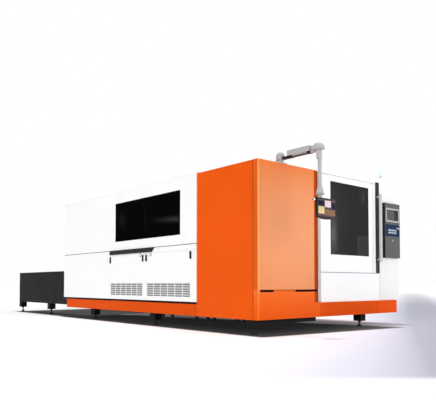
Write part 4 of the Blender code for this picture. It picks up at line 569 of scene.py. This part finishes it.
# The slot's tongue sits back in the slot; the dark sheet laid on it is painted shade
TONGUE_ACROSS = (0.2900, 0.7200)
TONGUE_FACE = 0.0100
TONGUE_RISE = 0.0006
TONGUE_UP = (LOW_COVER_BOX.top - 0.0097, LOW_COVER_BOX.top - 0.0027)
SIDE_SKIRT_SEAM_ALONG = (3.7930, 3.7970)
FRONT_SKIRT_SEAM_ACROSS = (2.6420, 2.6490)
SKIRT_SEAM_BOTTOM = SIDE_SKIRT_BOX.bottom + 0.0010


def shade_strips_and_seals():
    add_blocks("door_shade_strip", "front_door", SHADE_STRIP_GREY,
               [front_layer(SHADE_STRIP_ACROSS, DOOR_SHADE_STRIP_UP, DOOR_FACE, LAYER_RISE)])
    add_blocks("lower_shade_strip", "frame", SHADE_STRIP_GREY,
               [front_layer(SHADE_STRIP_ACROSS, LOWER_SHADE_STRIP_UP, DOOR_FACE, LAYER_RISE)])
    add_blocks("seam_gasket", "frame", RUBBER,
               [((GASKET_DEPTH[0], start, GASKET_UP[0]), (GASKET_DEPTH[1], end, GASKET_UP[1]))
                for start, end in GASKET_RUNS], rounding=0.0010)
    add_blocks("drip_seal", "frame", RUBBER,
               [DRIP_UNDER_DOORS, DRIP_UNDER_PANEL], rounding=0.0010)


def seam_fillers():
    add_blocks("front_seam_filler", "frame", SEAM_GREY,
               [front_layer(APRON_SEAM_ACROSS, APRON_SEAM_UP, DOOR_FACE, LAYER_RISE),
                front_layer(COLUMN_SEAM_ACROSS, COLUMN_SEAM_UP, DOOR_FACE, LAYER_RISE)])
    side_skirt_up = (SKIRT_SEAM_BOTTOM, DRIP_BOTTOM - 0.0010)
    front_skirt_up = (SKIRT_SEAM_BOTTOM, SIDE_SKIRT_BOX.top - 0.0010)
    # Dark seam lines, and on the slot's tongue a dark sheet of painted shade
    add_blocks("orange_seam_and_shade_filler", "frame", SEAM_AND_SHADE_ORANGE,
               [side_layer(CABINET_SEAM_ALONG, CABINET_SEAM_UP, CABINET_FACE, ORANGE_RISE),
                front_layer(TONGUE_ACROSS, TONGUE_UP, TONGUE_FACE, TONGUE_RISE),
                side_layer(SIDE_SKIRT_SEAM_ALONG, side_skirt_up, CABINET_FACE, ORANGE_RISE),
                front_layer(FRONT_SKIRT_SEAM_ACROSS, front_skirt_up, FRONT_FACE, ORANGE_RISE)],
               rounding=0.0001)


shade_strips_and_seals()
seam_fillers()

# Orange cover: plates of painted shade on its left return, on its bevelled end and in its air slot

PLATE_RISE = 0.0006
RETURN_ALONG = (COVER_BOX.front + 0.0110, CABINET_SEAM_ALONG[0])
RETURN_UP = (COVER_BOX.bottom + 0.0020, COVER_BOX.top - 0.0030)
BEVEL_LOW = Vector((COVER_BOX.right - 0.1250, COVER_BOX.front))
BEVEL_HIGH = Vector((COVER_BOX.right, COVER_BOX.front + 0.0330))
BEVEL_END_GAP = 0.0005
LOWER_BEVEL_UP = (0.4030, 0.5560)
UPPER_BEVEL_UP = (COVER_BOX.bottom + 0.0015, COVER_BOX.top - 0.0030)
# Dark plates of painted shade just behind the cover's air slot
SLOT_SHADE_DEPTH = (0.0026, 0.0036)
SLOT_SHADE_BEVEL_DEPTH = (0.0027, 0.0037)
SLOT_SHADE_UP = (0.5480, 0.5960)
SLOT_SHADE_RUNS = ((0.0430, TONGUE_ACROSS[0] - 0.0030),
               (TONGUE_ACROSS[1] + 0.0020, COVER_BOX.right - 0.1260))


def bevel_plate(form, depth, up):
    """A thin plate along the bevel between two heights; depth is how far behind it lies."""
    along = (BEVEL_HIGH - BEVEL_LOW).normalized()
    inward = Vector((-along.y, along.x))
    start = BEVEL_LOW + along * BEVEL_END_GAP
    end = BEVEL_HIGH - along * BEVEL_END_GAP
    plan = [start + inward * depth[0], end + inward * depth[0],
            end + inward * depth[1], start + inward * depth[1]]
    rings = [[form.verts.new(at(spot.x, spot.y, height)) for spot in plan] for height in up]
    join_rings(form, rings)
    for ring in rings:
        form.faces.new(ring)


def cover_details():
    # A thin plate of painted shade over the cover's side return
    add_blocks("cover_return_shade", "frame", ORANGE_RETURN_SHADE,
               [side_layer(RETURN_ALONG, RETURN_UP, CABINET_FACE, PLATE_RISE)])
    # Thin plates of painted shade on the bevel, below and above the air slot
    form = bmesh.new()
    bevel_plate(form, (-PLATE_RISE, 0.0), LOWER_BEVEL_UP)
    bevel_plate(form, (-PLATE_RISE, 0.0), UPPER_BEVEL_UP)
    add_piece("cover_bevel_shade_plates", "frame", ORANGE_BEVEL_SHADE, form)
    form = bmesh.new()
    for start, end in SLOT_SHADE_RUNS:
        block(form, (start, SLOT_SHADE_DEPTH[0], SLOT_SHADE_UP[0]), (end, SLOT_SHADE_DEPTH[1], SLOT_SHADE_UP[1]))
    bevel_plate(form, SLOT_SHADE_BEVEL_DEPTH, SLOT_SHADE_UP)
    add_piece("slot_shade_plates", "frame", SLOT_SHADE, form)


cover_details()

# Front door and windows: gaskets round the panes, a film and the end of the edge strip

PANE_LAP = 0.025
FILM_SIZE = (0.2980, 0.3050)
FILM_INSET = 0.010
FILM_RISE = 0.0004
# The strip's cap runs on over the face of the door's track
CAP_LOW = (STRIP_BOX.left + 0.0010, STRIP_BOX.front - 0.0012, 2.2000)
CAP_HIGH = (STRIP_BOX.right - 0.0010, STRIP_BOX.front - 0.0001, span("door_track").top - 0.0010)


def window_gaskets():
    form = bmesh.new()
    hoop(form, on_side, (PANE_FRONT_BOX.front + PANE_LAP, PANE_FRONT_BOX.bottom + PANE_LAP),
         (PANE_REAR_BOX.back - PANE_LAP, PANE_REAR_BOX.top - PANE_LAP),
         width=0.009, near=SIDE_FACE + 0.0005, far=PANE_FRONT_BOX.left)
    add_piece("side_window_gasket", "frame", RUBBER, form)
    form = bmesh.new()
    left, bottom = FRONT_PANE_BOX.left + PANE_LAP, FRONT_PANE_BOX.bottom + PANE_LAP
    right, top = FRONT_PANE_BOX.right - PANE_LAP, FRONT_PANE_BOX.top - PANE_LAP
    hoop(form, on_front, (left, bottom), (right, top),
         width=0.008, near=DOOR_FACE + 0.0006, far=FRONT_PANE_BOX.front)
    add_piece("front_window_gasket", "front_door", RUBBER, form)
    film_right, film_low = right - FILM_INSET, bottom + FILM_INSET
    film = front_layer((film_right - FILM_SIZE[0], film_right),
                       (film_low, film_low + FILM_SIZE[1]), FRONT_PANE_BOX.front, FILM_RISE)
    add_blocks("front_window_film", "front_door", FILM, [film], rounding=0.0001)


add_blocks("door_strip_cap", "front_door", BLACK, [(CAP_LOW, CAP_HIGH)],
           rounding=0.0004)
window_gaskets()

# Service doors: filter mats behind the louvres, lips over the slots, round plates at the top

MAT_DEPTH = (SIDE_FACE + 0.0028, SIDE_FACE + 0.0058)
MAT_LAP = 0.010
LOUVRE_UP = (0.464, 0.673)
FRONT_LOUVRE_ALONG = (SERVICE_FRONT_BOX.front + 0.139, SERVICE_REAR_BOX.front - 0.065)
REAR_LOUVRE_ALONG = (SERVICE_REAR_BOX.front + 0.065, SERVICE_REAR_BOX.back - 0.045)
LOUVRE_ROWS = 6
LOUVRE_COLUMNS = 6
LOUVRE_OPEN_SHARE = 0.42
LIP_GAP = 0.007
LIP_RISE = 0.0022
LIP_INSET = 0.001
LIP_HEIGHT_SHARE = 0.8
RING_UP = 1.1405
FRONT_RING_ALONG = 2.448
REAR_RING_ALONG = 2.749
RING_PROFILE = [(0.0295, 0.0), (0.0295, 0.0012), (0.0282, 0.0019), (0.0208, 0.0019),
                (0.0195, 0.0012), (0.0195, 0.0)]


def louvre_lips(start, end):
    """A pressed lip over each slot of a service door, between the rows of slots."""
    row_pitch = (LOUVRE_UP[1] - LOUVRE_UP[0]) / LOUVRE_ROWS
    column_pitch = (end - start) / LOUVRE_COLUMNS
    rest = row_pitch * (1 - LOUVRE_OPEN_SHARE)
    lips = []
    for row in range(LOUVRE_ROWS):
        low = LOUVRE_UP[0] + row_pitch * (row + 1) - rest / 2
        for column in range(LOUVRE_COLUMNS):
            along = start + column_pitch * column + LIP_GAP / 2
            lips.append(side_layer((along, along + column_pitch - LIP_GAP),
                                   (low + LIP_INSET, low + LIP_HEIGHT_SHARE * rest),
                                   SIDE_FACE, LIP_RISE))
    return lips


def service_door_details(body, louvre_along, ring_along):
    low = (MAT_DEPTH[0], louvre_along[0] - MAT_LAP, LOUVRE_UP[0] - MAT_LAP)
    high = (MAT_DEPTH[1], louvre_along[1] + MAT_LAP, LOUVRE_UP[1] + MAT_LAP)
    add_blocks(body + "_mat", body, MESH_GREY, [(low, high)], rounding=0.0005)
    add_blocks(body + "_lips", body, LIP_GREY, louvre_lips(*louvre_along),
               rounding=0.0009)
    form = bmesh.new()
    turned(form, (SIDE_FACE, ring_along, RING_UP), (-1, 0, 0), RING_PROFILE, closed=True)
    add_piece(body + "_ring", body, RING_GREY, form)


service_door_details("service_door_front", FRONT_LOUVRE_ALONG, FRONT_RING_ALONG)
service_door_details("service_door_rear", REAR_LOUVRE_ALONG, REAR_RING_ALONG)

# Console: pale screen frame, two-tone display, keys, flap lock and black cheek

DISPLAY_FACE = SCREEN_BOX.front
SCREEN_FRAME_LOW = (SCREEN_BOX.left + 0.0030, SCREEN_BOX.bottom + 0.0010)
SCREEN_FRAME_HIGH = (SCREEN_BOX.right - 0.0130, SCREEN_BOX.top - 0.0020)
SCREEN_FRAME_WIDTH = 0.024
SCREEN_FRAME_RISE = 0.0022
DISPLAY_INSET = 0.025
DISPLAY_RISE = 0.0010
DISPLAY_SPLIT = 3.1380
DISPLAY_SPLIT_GAP = 0.0002
KEYPAD_FACE = span("console_keypad").front
KEY_SIZE = (0.036, 0.028)
KEYS_ACROSS = evenly(start=2.970, pitch=0.049, count=5)
KEYS_UP = evenly(start=1.490, pitch=0.041, count=2)
KEY_RISE = 0.0012
KEY_SUNK = 0.0002
LONE_KEY_ACROSS = (3.215, 3.240)
LONE_KEY_UP = (1.580, 1.602)
CHEEK_LOW = (CONSOLE_BOX.left - 0.0018, CONSOLE_BOX.front + 0.0013, CONSOLE_BOX.bottom + 0.0010)
CHEEK_HIGH = (CONSOLE_BOX.left, CONSOLE_BOX.back - 0.0005, CONSOLE_BOX.top - 0.0010)
LOCK_PLACE = (3.094, span("console_flap").front, 1.374)
LOCK_PROFILE = [(0.0130, 0.0), (0.0130, 0.0012), (0.0112, 0.0024), (0.0050, 0.0026)]


def key_top(across, up):
    return front_layer(across, up, KEYPAD_FACE + KEY_SUNK, KEY_RISE + KEY_SUNK)


def key_tops():
    """The rows of keys, from the lowest left one, and a lone key beside them."""
    keys = [key_top((left, left + KEY_SIZE[0]), (low, low + KEY_SIZE[1]))
            for low in KEYS_UP for left in KEYS_ACROSS]
    return keys + [key_top(LONE_KEY_ACROSS, LONE_KEY_UP)]


def console_details():
    form = bmesh.new()
    hoop(form, on_front, SCREEN_FRAME_LOW, SCREEN_FRAME_HIGH, width=SCREEN_FRAME_WIDTH,
         near=DISPLAY_FACE - SCREEN_FRAME_RISE, far=DISPLAY_FACE)
    add_piece("console_screen_frame", "frame", PALE_FRAME, form)
    up = (SCREEN_FRAME_LOW[1] + DISPLAY_INSET, SCREEN_FRAME_HIGH[1] - DISPLAY_INSET)
    light = (SCREEN_FRAME_LOW[0] + DISPLAY_INSET, DISPLAY_SPLIT)
    dark = (DISPLAY_SPLIT + DISPLAY_SPLIT_GAP, SCREEN_FRAME_HIGH[0] - DISPLAY_INSET)
    add_blocks("console_display", "frame", SCREEN_GREY,
               [front_layer(light, up, DISPLAY_FACE, DISPLAY_RISE)], rounding=0.0003)
    add_blocks("console_display_dark", "frame", SCREEN_DARK,
               [front_layer(dark, up, DISPLAY_FACE, DISPLAY_RISE)], rounding=0.0003)
    add_blocks("console_keys", "frame", KEY_PALE, key_tops(), rounding=0.0005)
    add_blocks("console_cheek", "frame", BLACK, [(CHEEK_LOW, CHEEK_HIGH)],
               rounding=0.0004)
    form = bmesh.new()
    turned(form, LOCK_PLACE, (0, -1, 0), LOCK_PROFILE)
    add_piece("console_flap_lock", "console_flap", STEEL, form)


console_details()

# Monitor: generic fields on its screen and a pale cap on its knob

PANE_FACE = span("pendant_screen").front
FIELD_RISE = 0.0006
# Each field is a pair across and a pair up
PREVIEW = ((0.3480, 0.4640), (1.5290, 1.6180))
SHEET = ((0.4740, 0.5920), (1.6170, 1.7000))
STATUS = ((0.6040, 0.6740), (1.6000, 1.6780))
TITLE = ((0.3480, 0.4640), (1.6320, 1.6900))
LIST_ACROSS = (0.4740, 0.6740)
LIST_UP = evenly(start=1.5200, pitch=0.0225, count=3)
LIST_LINE = 0.0180
KNOB_PLACE = (0.2980, -0.6830, 1.6960)
KNOB_PROFILE = [(0.0128, 0.002), (0.0132, 0.004), (0.0132, 0.029), (0.0118, 0.0315),
                (0.004, 0.0322)]


def screen_fields(name, material, fields):
    """Thin raised fields on the monitor's screen."""
    add_blocks(name, "pendant", material,
               [front_layer(across, up, PANE_FACE, FIELD_RISE) for across, up in fields],
               rounding=0.0001)


def pendant_details():
    screen_fields("screen_preview", FIELD_CREAM, [PREVIEW])
    screen_fields("screen_sheet", FIELD_PALE, [SHEET])
    screen_fields("screen_status", FIELD_NAVY, [STATUS, TITLE])
    screen_fields("screen_list", FIELD_BROWN, [(LIST_ACROSS, (low, low + LIST_LINE))
                                               for low in LIST_UP])
    form = bmesh.new()
    turned(form, KNOB_PLACE, (-1, 0, 0), KNOB_PROFILE)
    add_piece("pendant_knob_cap", "pendant", BUTTON, form)


pendant_details()

# Arm and lamp: flat-headed screws, since the arm passes just over its base, sleeves, a collar

FLAT_HEAD = [(0.0080, 0.0), (0.0080, 0.0004), (0.0070, 0.0009), (0.0030, 0.0007)]
PANEL_SCREW = [(0.0090, 0.0), (0.0090, 0.0012), (0.0070, 0.0034), (0.0030, 0.0044)]
SCREW_SIDES = 16
ARM_BASE_TOP = span("arm_base").top
BASE_SCREWS_ACROSS = (0.372, 0.430)
BASE_SCREWS_ALONG = (0.022, 0.120)
SLEEVE_RUNS = ((-0.1500, 0.0180), (-0.4590, -0.4100))
SLEEVE_SIDE = 0.0006
SLEEVE_UP = (BEAM_BOX.bottom - 0.0001, BEAM_BOX.bottom + 0.0280)
COLLAR_UP = 2.4180
COLLAR_PROFILE = [(0.0254, 0.0), (0.0262, 0.0010), (0.0262, 0.0090), (0.0238, 0.0105),
                  (0.0234, 0.0105), (0.0234, 0.0)]


def fasteners(name, body, material, places, axis, profile):
    """Round heads of one kind, all facing along an axis."""
    form = bmesh.new()
    for place in places:
        turned(form, place, axis, profile, sides=SCREW_SIDES)
    add_piece(name, body, material, form)


def arm_base_bolts():
    places = [(across, along, ARM_BASE_TOP) for across in BASE_SCREWS_ACROSS
              for along in BASE_SCREWS_ALONG]
    fasteners("arm_base_bolts", "frame", STEEL, places, (0, 0, 1), FLAT_HEAD)


def arm_sleeves():
    """The black joint sleeves under the arm's beam, by its hub and by its elbow."""
    sleeves = [((BEAM_BOX.left - SLEEVE_SIDE, start, SLEEVE_UP[0]),
                (BEAM_BOX.right + SLEEVE_SIDE, end, SLEEVE_UP[1])) for start, end in SLEEVE_RUNS]
    add_blocks("arm_sleeves", "arm", BLACK, sleeves, rounding=0.0015)


def lamp_collar():
    across = (LAMP_POLE_BOX.left + LAMP_POLE_BOX.right) / 2
    along = (LAMP_POLE_BOX.front + LAMP_POLE_BOX.back) / 2
    form = bmesh.new()
    turned(form, (across, along, COLLAR_UP), (0, 0, 1), COLLAR_PROFILE, closed=True)
    add_piece("lamp_collar", "frame", BLACK, form)


arm_base_bolts()
lamp_collar()
arm_sleeves()

# Roof and rear wall

ROOF_TOP = ROOF_BOX.top
REAR_FACE = span("rear_wall").back
FILLER_RISE = 0.0008
FILLER_HALF_WIDTH = 0.004

EYE_ACROSS = (0.42, 2.95)
EYE_ALONG = (1.80, 5.20)
EYE_COLLAR = [(0.0190, 0.0), (0.0190, 0.0060), (0.0170, 0.0080), (0.0100, 0.0090)]
EYE_COLLAR_SIDES = 20
EYE_COLLAR_HEIGHT = 0.0090
EYE_RADIUS = 0.0200
EYE_WIRE = 0.0055
EYE_STEPS = 24
EYE_WIRE_SIDES = 10
ROOF_SEAMS_ALONG = (2.34, 3.44, 4.54)
ROOF_SEAM_INSET = 0.002
ROOF_SCREWS_ACROSS = (0.030, 3.305)
ROOF_SCREWS_ALONG = evenly(start=1.45, pitch=0.55, count=8)

REAR_SCREWS_ACROSS = evenly(start=0.075, pitch=0.3375, count=10)
REAR_SCREWS_UP = (0.45, 2.235)
REAR_SIDE_SCREWS_ACROSS = (0.075, 3.1125)
REAR_SIDE_SCREWS_UP = evenly(start=0.85, pitch=0.35, count=4)
REAR_SEAMS_ACROSS = (1.08, 2.10)
REAR_SEAM_UP = (1.2000, 2.2600)
CURTAIN_RAIL_ACROSS = (0.3900, 2.1100)
CURTAIN_RAIL_UP = (1.1350, 1.1650)
CURTAIN_RAIL_DEPTH = 0.0080
CURTAIN_FLAPS_ACROSS = evenly(start=0.4000, pitch=0.1135, count=15)
CURTAIN_FLAP_WIDTH = 0.1095
CURTAIN_FLAP_DEPTH = (0.0006, 0.0036)
CURTAIN_FLAP_UP = (1.0100, 1.1500)


def eye_bolt(form, across, along):
    """A lifting eye: a collar on the roof and a ring that stands on it."""
    turned(form, (across, along, ROOF_TOP), (0, 0, 1), EYE_COLLAR, sides=EYE_COLLAR_SIDES)
    centre = at(across, along, ROOF_TOP + EYE_COLLAR_HEIGHT + EYE_RADIUS)
    rings = []
    for step in range(EYE_STEPS):
        turn = 2 * math.pi * step / EYE_STEPS
        outward = Vector((math.cos(turn), 0.0, math.sin(turn)))
        ring = []
        for part in range(EYE_WIRE_SIDES):
            angle = 2 * math.pi * part / EYE_WIRE_SIDES
            reach = EYE_RADIUS + EYE_WIRE * math.cos(angle)
            sideways = Vector((0.0, EYE_WIRE * math.sin(angle), 0.0))
            ring.append(form.verts.new(centre + outward * reach + sideways))
        rings.append(ring)
    join_rings(form, rings + rings[:1])


def roof_details():
    form = bmesh.new()
    for across in EYE_ACROSS:
        for along in EYE_ALONG:
            eye_bolt(form, across, along)
    add_piece("lifting_eyes", "frame", STEEL, form)
    left, right = ROOF_BOX.left + ROOF_SEAM_INSET, ROOF_BOX.right - ROOF_SEAM_INSET
    add_blocks("roof_seam_filler", "frame", SEAM_GREY,
               [((left, along - FILLER_HALF_WIDTH, ROOF_TOP),
                 (right, along + FILLER_HALF_WIDTH, ROOF_TOP + FILLER_RISE))
                for along in ROOF_SEAMS_ALONG])
    places = [(across, along, ROOF_TOP) for across in ROOF_SCREWS_ACROSS
              for along in ROOF_SCREWS_ALONG]
    fasteners("roof_screws", "frame", STEEL, places, (0, 0, 1), PANEL_SCREW)


def rear_layer(across, up, near, far):
    """A block on the rear wall, between two distances from its face."""
    return (across[0], REAR_FACE + near, up[0]), (across[1], REAR_FACE + far, up[1])


def rear_details():
    places = [(across, REAR_FACE, up) for across in REAR_SCREWS_ACROSS for up in REAR_SCREWS_UP]
    places += [(across, REAR_FACE, up) for across in REAR_SIDE_SCREWS_ACROSS
               for up in REAR_SIDE_SCREWS_UP]
    fasteners("rear_screws", "frame", STEEL, places, (0, 1, 0), PANEL_SCREW)
    add_blocks("rear_seam_filler", "frame", SEAM_GREY,
               [rear_layer((across - FILLER_HALF_WIDTH, across + FILLER_HALF_WIDTH), REAR_SEAM_UP,
                           0.0, FILLER_RISE) for across in REAR_SEAMS_ACROSS])
    add_blocks("curtain_rail", "frame", STEEL,
               [rear_layer(CURTAIN_RAIL_ACROSS, CURTAIN_RAIL_UP, 0.0, CURTAIN_RAIL_DEPTH)],
               rounding=0.0015)
    add_blocks("curtain_flaps", "frame", RUBBER,
               [rear_layer((start, start + CURTAIN_FLAP_WIDTH), CURTAIN_FLAP_UP,
                           *CURTAIN_FLAP_DEPTH) for start in CURTAIN_FLAPS_ACROSS],
               rounding=0.0008)


roof_details()
rear_details()

# Floor: white, with a contact shade under the machine and a cool lane to its right

FLOOR_GLOW = 0.10
FLOOR_REACH = 400.0
FLOOR_HEIGHT = -0.0005
FLOOR_WHITE = (0.95, 0.95, 0.95)
FLOOR_WHITE_LOW = (0.945, 0.945, 0.945)
CONTACT_DARK = (0.10, 0.10, 0.10)
CONTACT_DARK_HIGH = (0.12, 0.12, 0.12)
CONTACT_EDGE = 0.05
# Corners of the contact shade under the body and under the table, across and along
BODY_CONTACT = ((-0.08, -0.15), (2.80, 5.70))
BODY_CONTACT_SLOPE = 0.104
BODY_CONTACT_SHIFT = 0.0083
TABLE_CONTACT = ((-0.02, 5.60), (2.44, 8.50))
RIGHT_CONTACT_SLOPE = 0.26
RIGHT_CONTACT_EDGE = (2.68, 2.56)

# The cool lane's tone across its width: a place in metres, its grey and its blue
LANE = ((-4.10, 0.950, 0.950), (-3.50, 0.680, 0.740), (-3.00, 0.440, 0.510), (-2.55, 0.430, 0.500),
        (-2.15, 0.460, 0.535), (-2.00, 0.550, 0.635), (-1.86, 0.610, 0.705), (-1.60, 0.710, 0.810),
        (-1.00, 0.840, 0.930), (-0.40, 0.950, 0.950))
LANE_SLOPE = 0.59
LANE_SHIFT = 0.14
LANE_SHIFT_ACROSS = (4.5, -1.0)
LANE_FADE_ACROSS = (11.0, 38.0)
# Where the lane ends towards the camera: a direction on the floor and the two places on it
LANE_END_DIRECTION = (0.649, 0.761)
LANE_END = (-2.95, -3.25)


def combined(tree, operation, first, second):
    """A maths node on two sockets."""
    item = node(tree, "ShaderNodeMath", operation=operation)
    tree.links.new(first, item.inputs[0])
    tree.links.new(second, item.inputs[1])
    return item.outputs["Value"]


def slanted(tree, place, across, along, offset=0.0):
    """across * X + along * Y + offset, measured from the body's corner."""
    dot = node(tree, "ShaderNodeVectorMath", operation='DOT_PRODUCT')
    tree.links.new(place, dot.inputs[0])
    dot.inputs[1].default_value = (across, along, 0)
    moved = node(tree, "ShaderNodeMath", operation='ADD')
    tree.links.new(dot.outputs["Value"], moved.inputs[0])
    moved.inputs[1].default_value = offset - across * LEFT - along * FRONT
    return moved.outputs["Value"]


def soft_step(tree, value, start, end):
    """0 before start, 1 after end, smooth between them."""
    item = node(tree, "ShaderNodeMapRange", interpolation_type='SMOOTHSTEP', From_Min=start,
                From_Max=end)
    tree.links.new(value, item.inputs["Value"])
    return item.outputs["Result"]


def soft_patch(tree, across, along, low, high, edge):
    """1 inside a rectangle with soft edges; across and along are sockets."""
    inside = soft_step(tree, across, low[0] - edge, low[0] + edge)
    for value, start, end in ((across, high[0] + edge, high[0] - edge),
                              (along, low[1] - edge, low[1] + edge),
                              (along, high[1] + edge, high[1] - edge)):
        inside = combined(tree, 'MULTIPLY', inside, soft_step(tree, value, start, end))
    return inside


def seen_share(tree):
    """A little light that only the eye, mirrors and glass see, so the floor ends in white."""
    path = tree.nodes.new("ShaderNodeLightPath")
    seen = path.outputs["Is Camera Ray"]
    for flag in ("Is Glossy Ray", "Is Transmission Ray"):
        seen = combined(tree, 'MAXIMUM', seen, path.outputs[flag])
    return spread(tree, seen, 0.0, FLOOR_GLOW)


def lane_tone(tree, place):
    """The cool shade of the floor to the machine's right, shifted a little near the front."""
    near = soft_step(tree, slanted(tree, place, 1.0, 0.0), *LANE_SHIFT_ACROSS)
    drawn = combined(tree, 'ADD', slanted(tree, place, -LANE_SLOPE, 1.0),
                     spread(tree, near, 0.0, LANE_SHIFT))
    low = LANE[0][0]
    width = LANE[-1][0] - low
    share = node(tree, "ShaderNodeMapRange", From_Min=low, From_Max=low + width)
    tree.links.new(drawn, share.inputs["Value"])
    return ramp(tree, share.outputs["Result"],
                [((spot - low) / width, (grey, grey, blue)) for spot, grey, blue in LANE])


def contact_share(tree, place):
    """1 under the machine and its table, with a soft edge."""
    across = slanted(tree, place, 1.0, 0.0)
    body_along = slanted(tree, place, BODY_CONTACT_SLOPE, 1.0, BODY_CONTACT_SHIFT)
    body = soft_patch(tree, across, body_along, *BODY_CONTACT, CONTACT_EDGE)
    right = soft_step(tree, slanted(tree, place, 1.0, RIGHT_CONTACT_SLOPE), *RIGHT_CONTACT_EDGE)
    table = soft_patch(tree, across, slanted(tree, place, 0.0, 1.0), *TABLE_CONTACT, CONTACT_EDGE)
    return combined(tree, 'MAXIMUM', combined(tree, 'MULTIPLY', body, right), table)


def floor_material():
    """Pale floor with a cool shade to the right and a soft contact shade under the machine."""
    material, tree, shader = new_material("pale floor")
    place = place_socket(tree)
    white = mottled(tree, noise(tree, place, scale=0.35), FLOOR_WHITE_LOW, FLOOR_WHITE)
    far = node(tree, "ShaderNodeMapRange", From_Min=LANE_FADE_ACROSS[0],
               From_Max=LANE_FADE_ACROSS[1])
    tree.links.new(slanted(tree, place, 1.0, 0.0), far.inputs["Value"])
    near = soft_step(tree, slanted(tree, place, *LANE_END_DIRECTION), *LANE_END)
    plain = combined(tree, 'MAXIMUM', far.outputs["Result"], near)
    tone = blended(tree, 'MIX', plain, lane_tone(tree, place), white)
    dark = mottled(tree, noise(tree, place, scale=2.0), CONTACT_DARK, CONTACT_DARK_HIGH)
    tone = blended(tree, 'MIX', contact_share(tree, place), tone, dark)
    tree.links.new(tone, shader.inputs["Base Color"])
    tree.links.new(tone, shader.inputs["Emission Color"])
    tree.links.new(seen_share(tree), shader.inputs["Emission Strength"])
    shader.inputs["Roughness"].default_value = 0.6
    shader.inputs["Specular IOR Level"].default_value = 0.05
    return material


def stage_floor(reach, height):
    mesh = bpy.data.meshes.new("floor")
    corners = [(-reach, -reach, height), (reach, -reach, height), (reach, reach, height),
               (-reach, reach, height)]
    mesh.from_pydata(corners, [], [(0, 1, 2, 3)])
    mesh.materials.append(floor_material())
    item = bpy.data.objects.new("floor", mesh)
    bpy.context.scene.collection.objects.link(item)


stage_floor(FLOOR_REACH, FLOOR_HEIGHT)

# Light: a white studio that lights less than the eye sees of it, three suns and a soft box

SKY_LIGHT = 0.38
SKY_IN_MIRRORS = 0.40
SKY_SEEN = 1.0
# A direction that the light comes from, its strength and how wide it looks in degrees
SUNS = {
    "left key": ((-0.918, -0.230, 0.321), 1.20, 40),
    "front fill": ((0.142, -0.948, 0.284), 0.90, 40),
    "top light": ((0.028, 0.100, 1.000), 1.50, 6),
}
SOFTBOX_PLACE = at(6.1, -5.0, 1.9)
SOFTBOX_TARGET = at(0.6, 0.0, 1.2)
SOFTBOX_SIZE = (2.4, 2.6)
SOFTBOX_WATTS = 95


def seen_as(sky, flag, strength, under):
    """Show the background at one strength to one kind of ray, and as before to the others."""
    shown = node(sky, "ShaderNodeBackground", Color=(1, 1, 1, 1), Strength=strength)
    path = sky.nodes.new("ShaderNodeLightPath")
    pick = sky.nodes.new("ShaderNodeMixShader")
    sky.links.new(path.outputs[flag], pick.inputs["Fac"])
    sky.links.new(under, pick.inputs[1])
    sky.links.new(shown.outputs["Background"], pick.inputs[2])
    return pick.outputs["Shader"]


def studio_world():
    world = bpy.data.worlds.new("studio")
    bpy.context.scene.world = world
    world.use_nodes = True
    sky = world.node_tree
    background = sky.nodes["Background"]
    background.inputs["Color"].default_value = (1, 1, 1, 1)
    background.inputs["Strength"].default_value = SKY_LIGHT
    backdrop = seen_as(sky, "Is Glossy Ray", SKY_IN_MIRRORS, background.outputs["Background"])
    backdrop = seen_as(sky, "Is Transmission Ray", SKY_SEEN, backdrop)
    backdrop = seen_as(sky, "Is Camera Ray", SKY_SEEN, backdrop)
    sky.links.new(backdrop, sky.nodes["World Output"].inputs["Surface"])


def sun(name, source, strength, angle):
    """An even light from a direction."""
    light = bpy.data.lights.new(name, 'SUN')
    light.energy = strength
    light.angle = math.radians(angle)
    item = bpy.data.objects.new(name, light)
    item.rotation_euler = Vector(source).to_track_quat('Z', 'Y').to_euler()
    bpy.context.scene.collection.objects.link(item)


def softbox(name, place, target, size, watts):
    light = bpy.data.lights.new(name, 'AREA')
    light.shape = 'RECTANGLE'
    light.size, light.size_y = size
    light.energy = watts
    item = bpy.data.objects.new(name, light)
    item.location = place
    item.rotation_euler = (target - place).to_track_quat('-Z', 'Y').to_euler()
    bpy.context.scene.collection.objects.link(item)


studio_world()
for title, (source, strength, angle) in SUNS.items():
    sun(title, source, strength, angle)
# The glossy orange front mirrors this one towards the camera
softbox("front softbox", SOFTBOX_PLACE, SOFTBOX_TARGET, SOFTBOX_SIZE, SOFTBOX_WATTS)

# Camera, fitted to the photograph; focal length and shift are in the photo's pixels

SENSOR = 36.0
PHOTO_WIDTH = 436
FOCAL_PIXELS = 544.49
SHIFT_PIXELS = 64.70
CAMERA_PLACE = at(-4.894, -4.948, 0.659)
CAMERA_PITCH = math.pi / 2 + 0.0360
CAMERA_HEADING = -0.7065
CAMERA_REACH = 900.0


def add_camera():
    data = bpy.data.cameras.new("camera")
    data.sensor_width = SENSOR
    data.lens = SENSOR * FOCAL_PIXELS / PHOTO_WIDTH
    data.shift_y = SHIFT_PIXELS / PHOTO_WIDTH
    data.clip_end = CAMERA_REACH
    camera = bpy.data.objects.new("camera", data)
    camera.location = CAMERA_PLACE
    camera.rotation_euler = (CAMERA_PITCH, 0.0, CAMERA_HEADING)
    bpy.context.scene.collection.objects.link(camera)
    bpy.context.scene.camera = camera


add_camera()
bpy.context.scene.view_settings.view_transform = 'Standard'
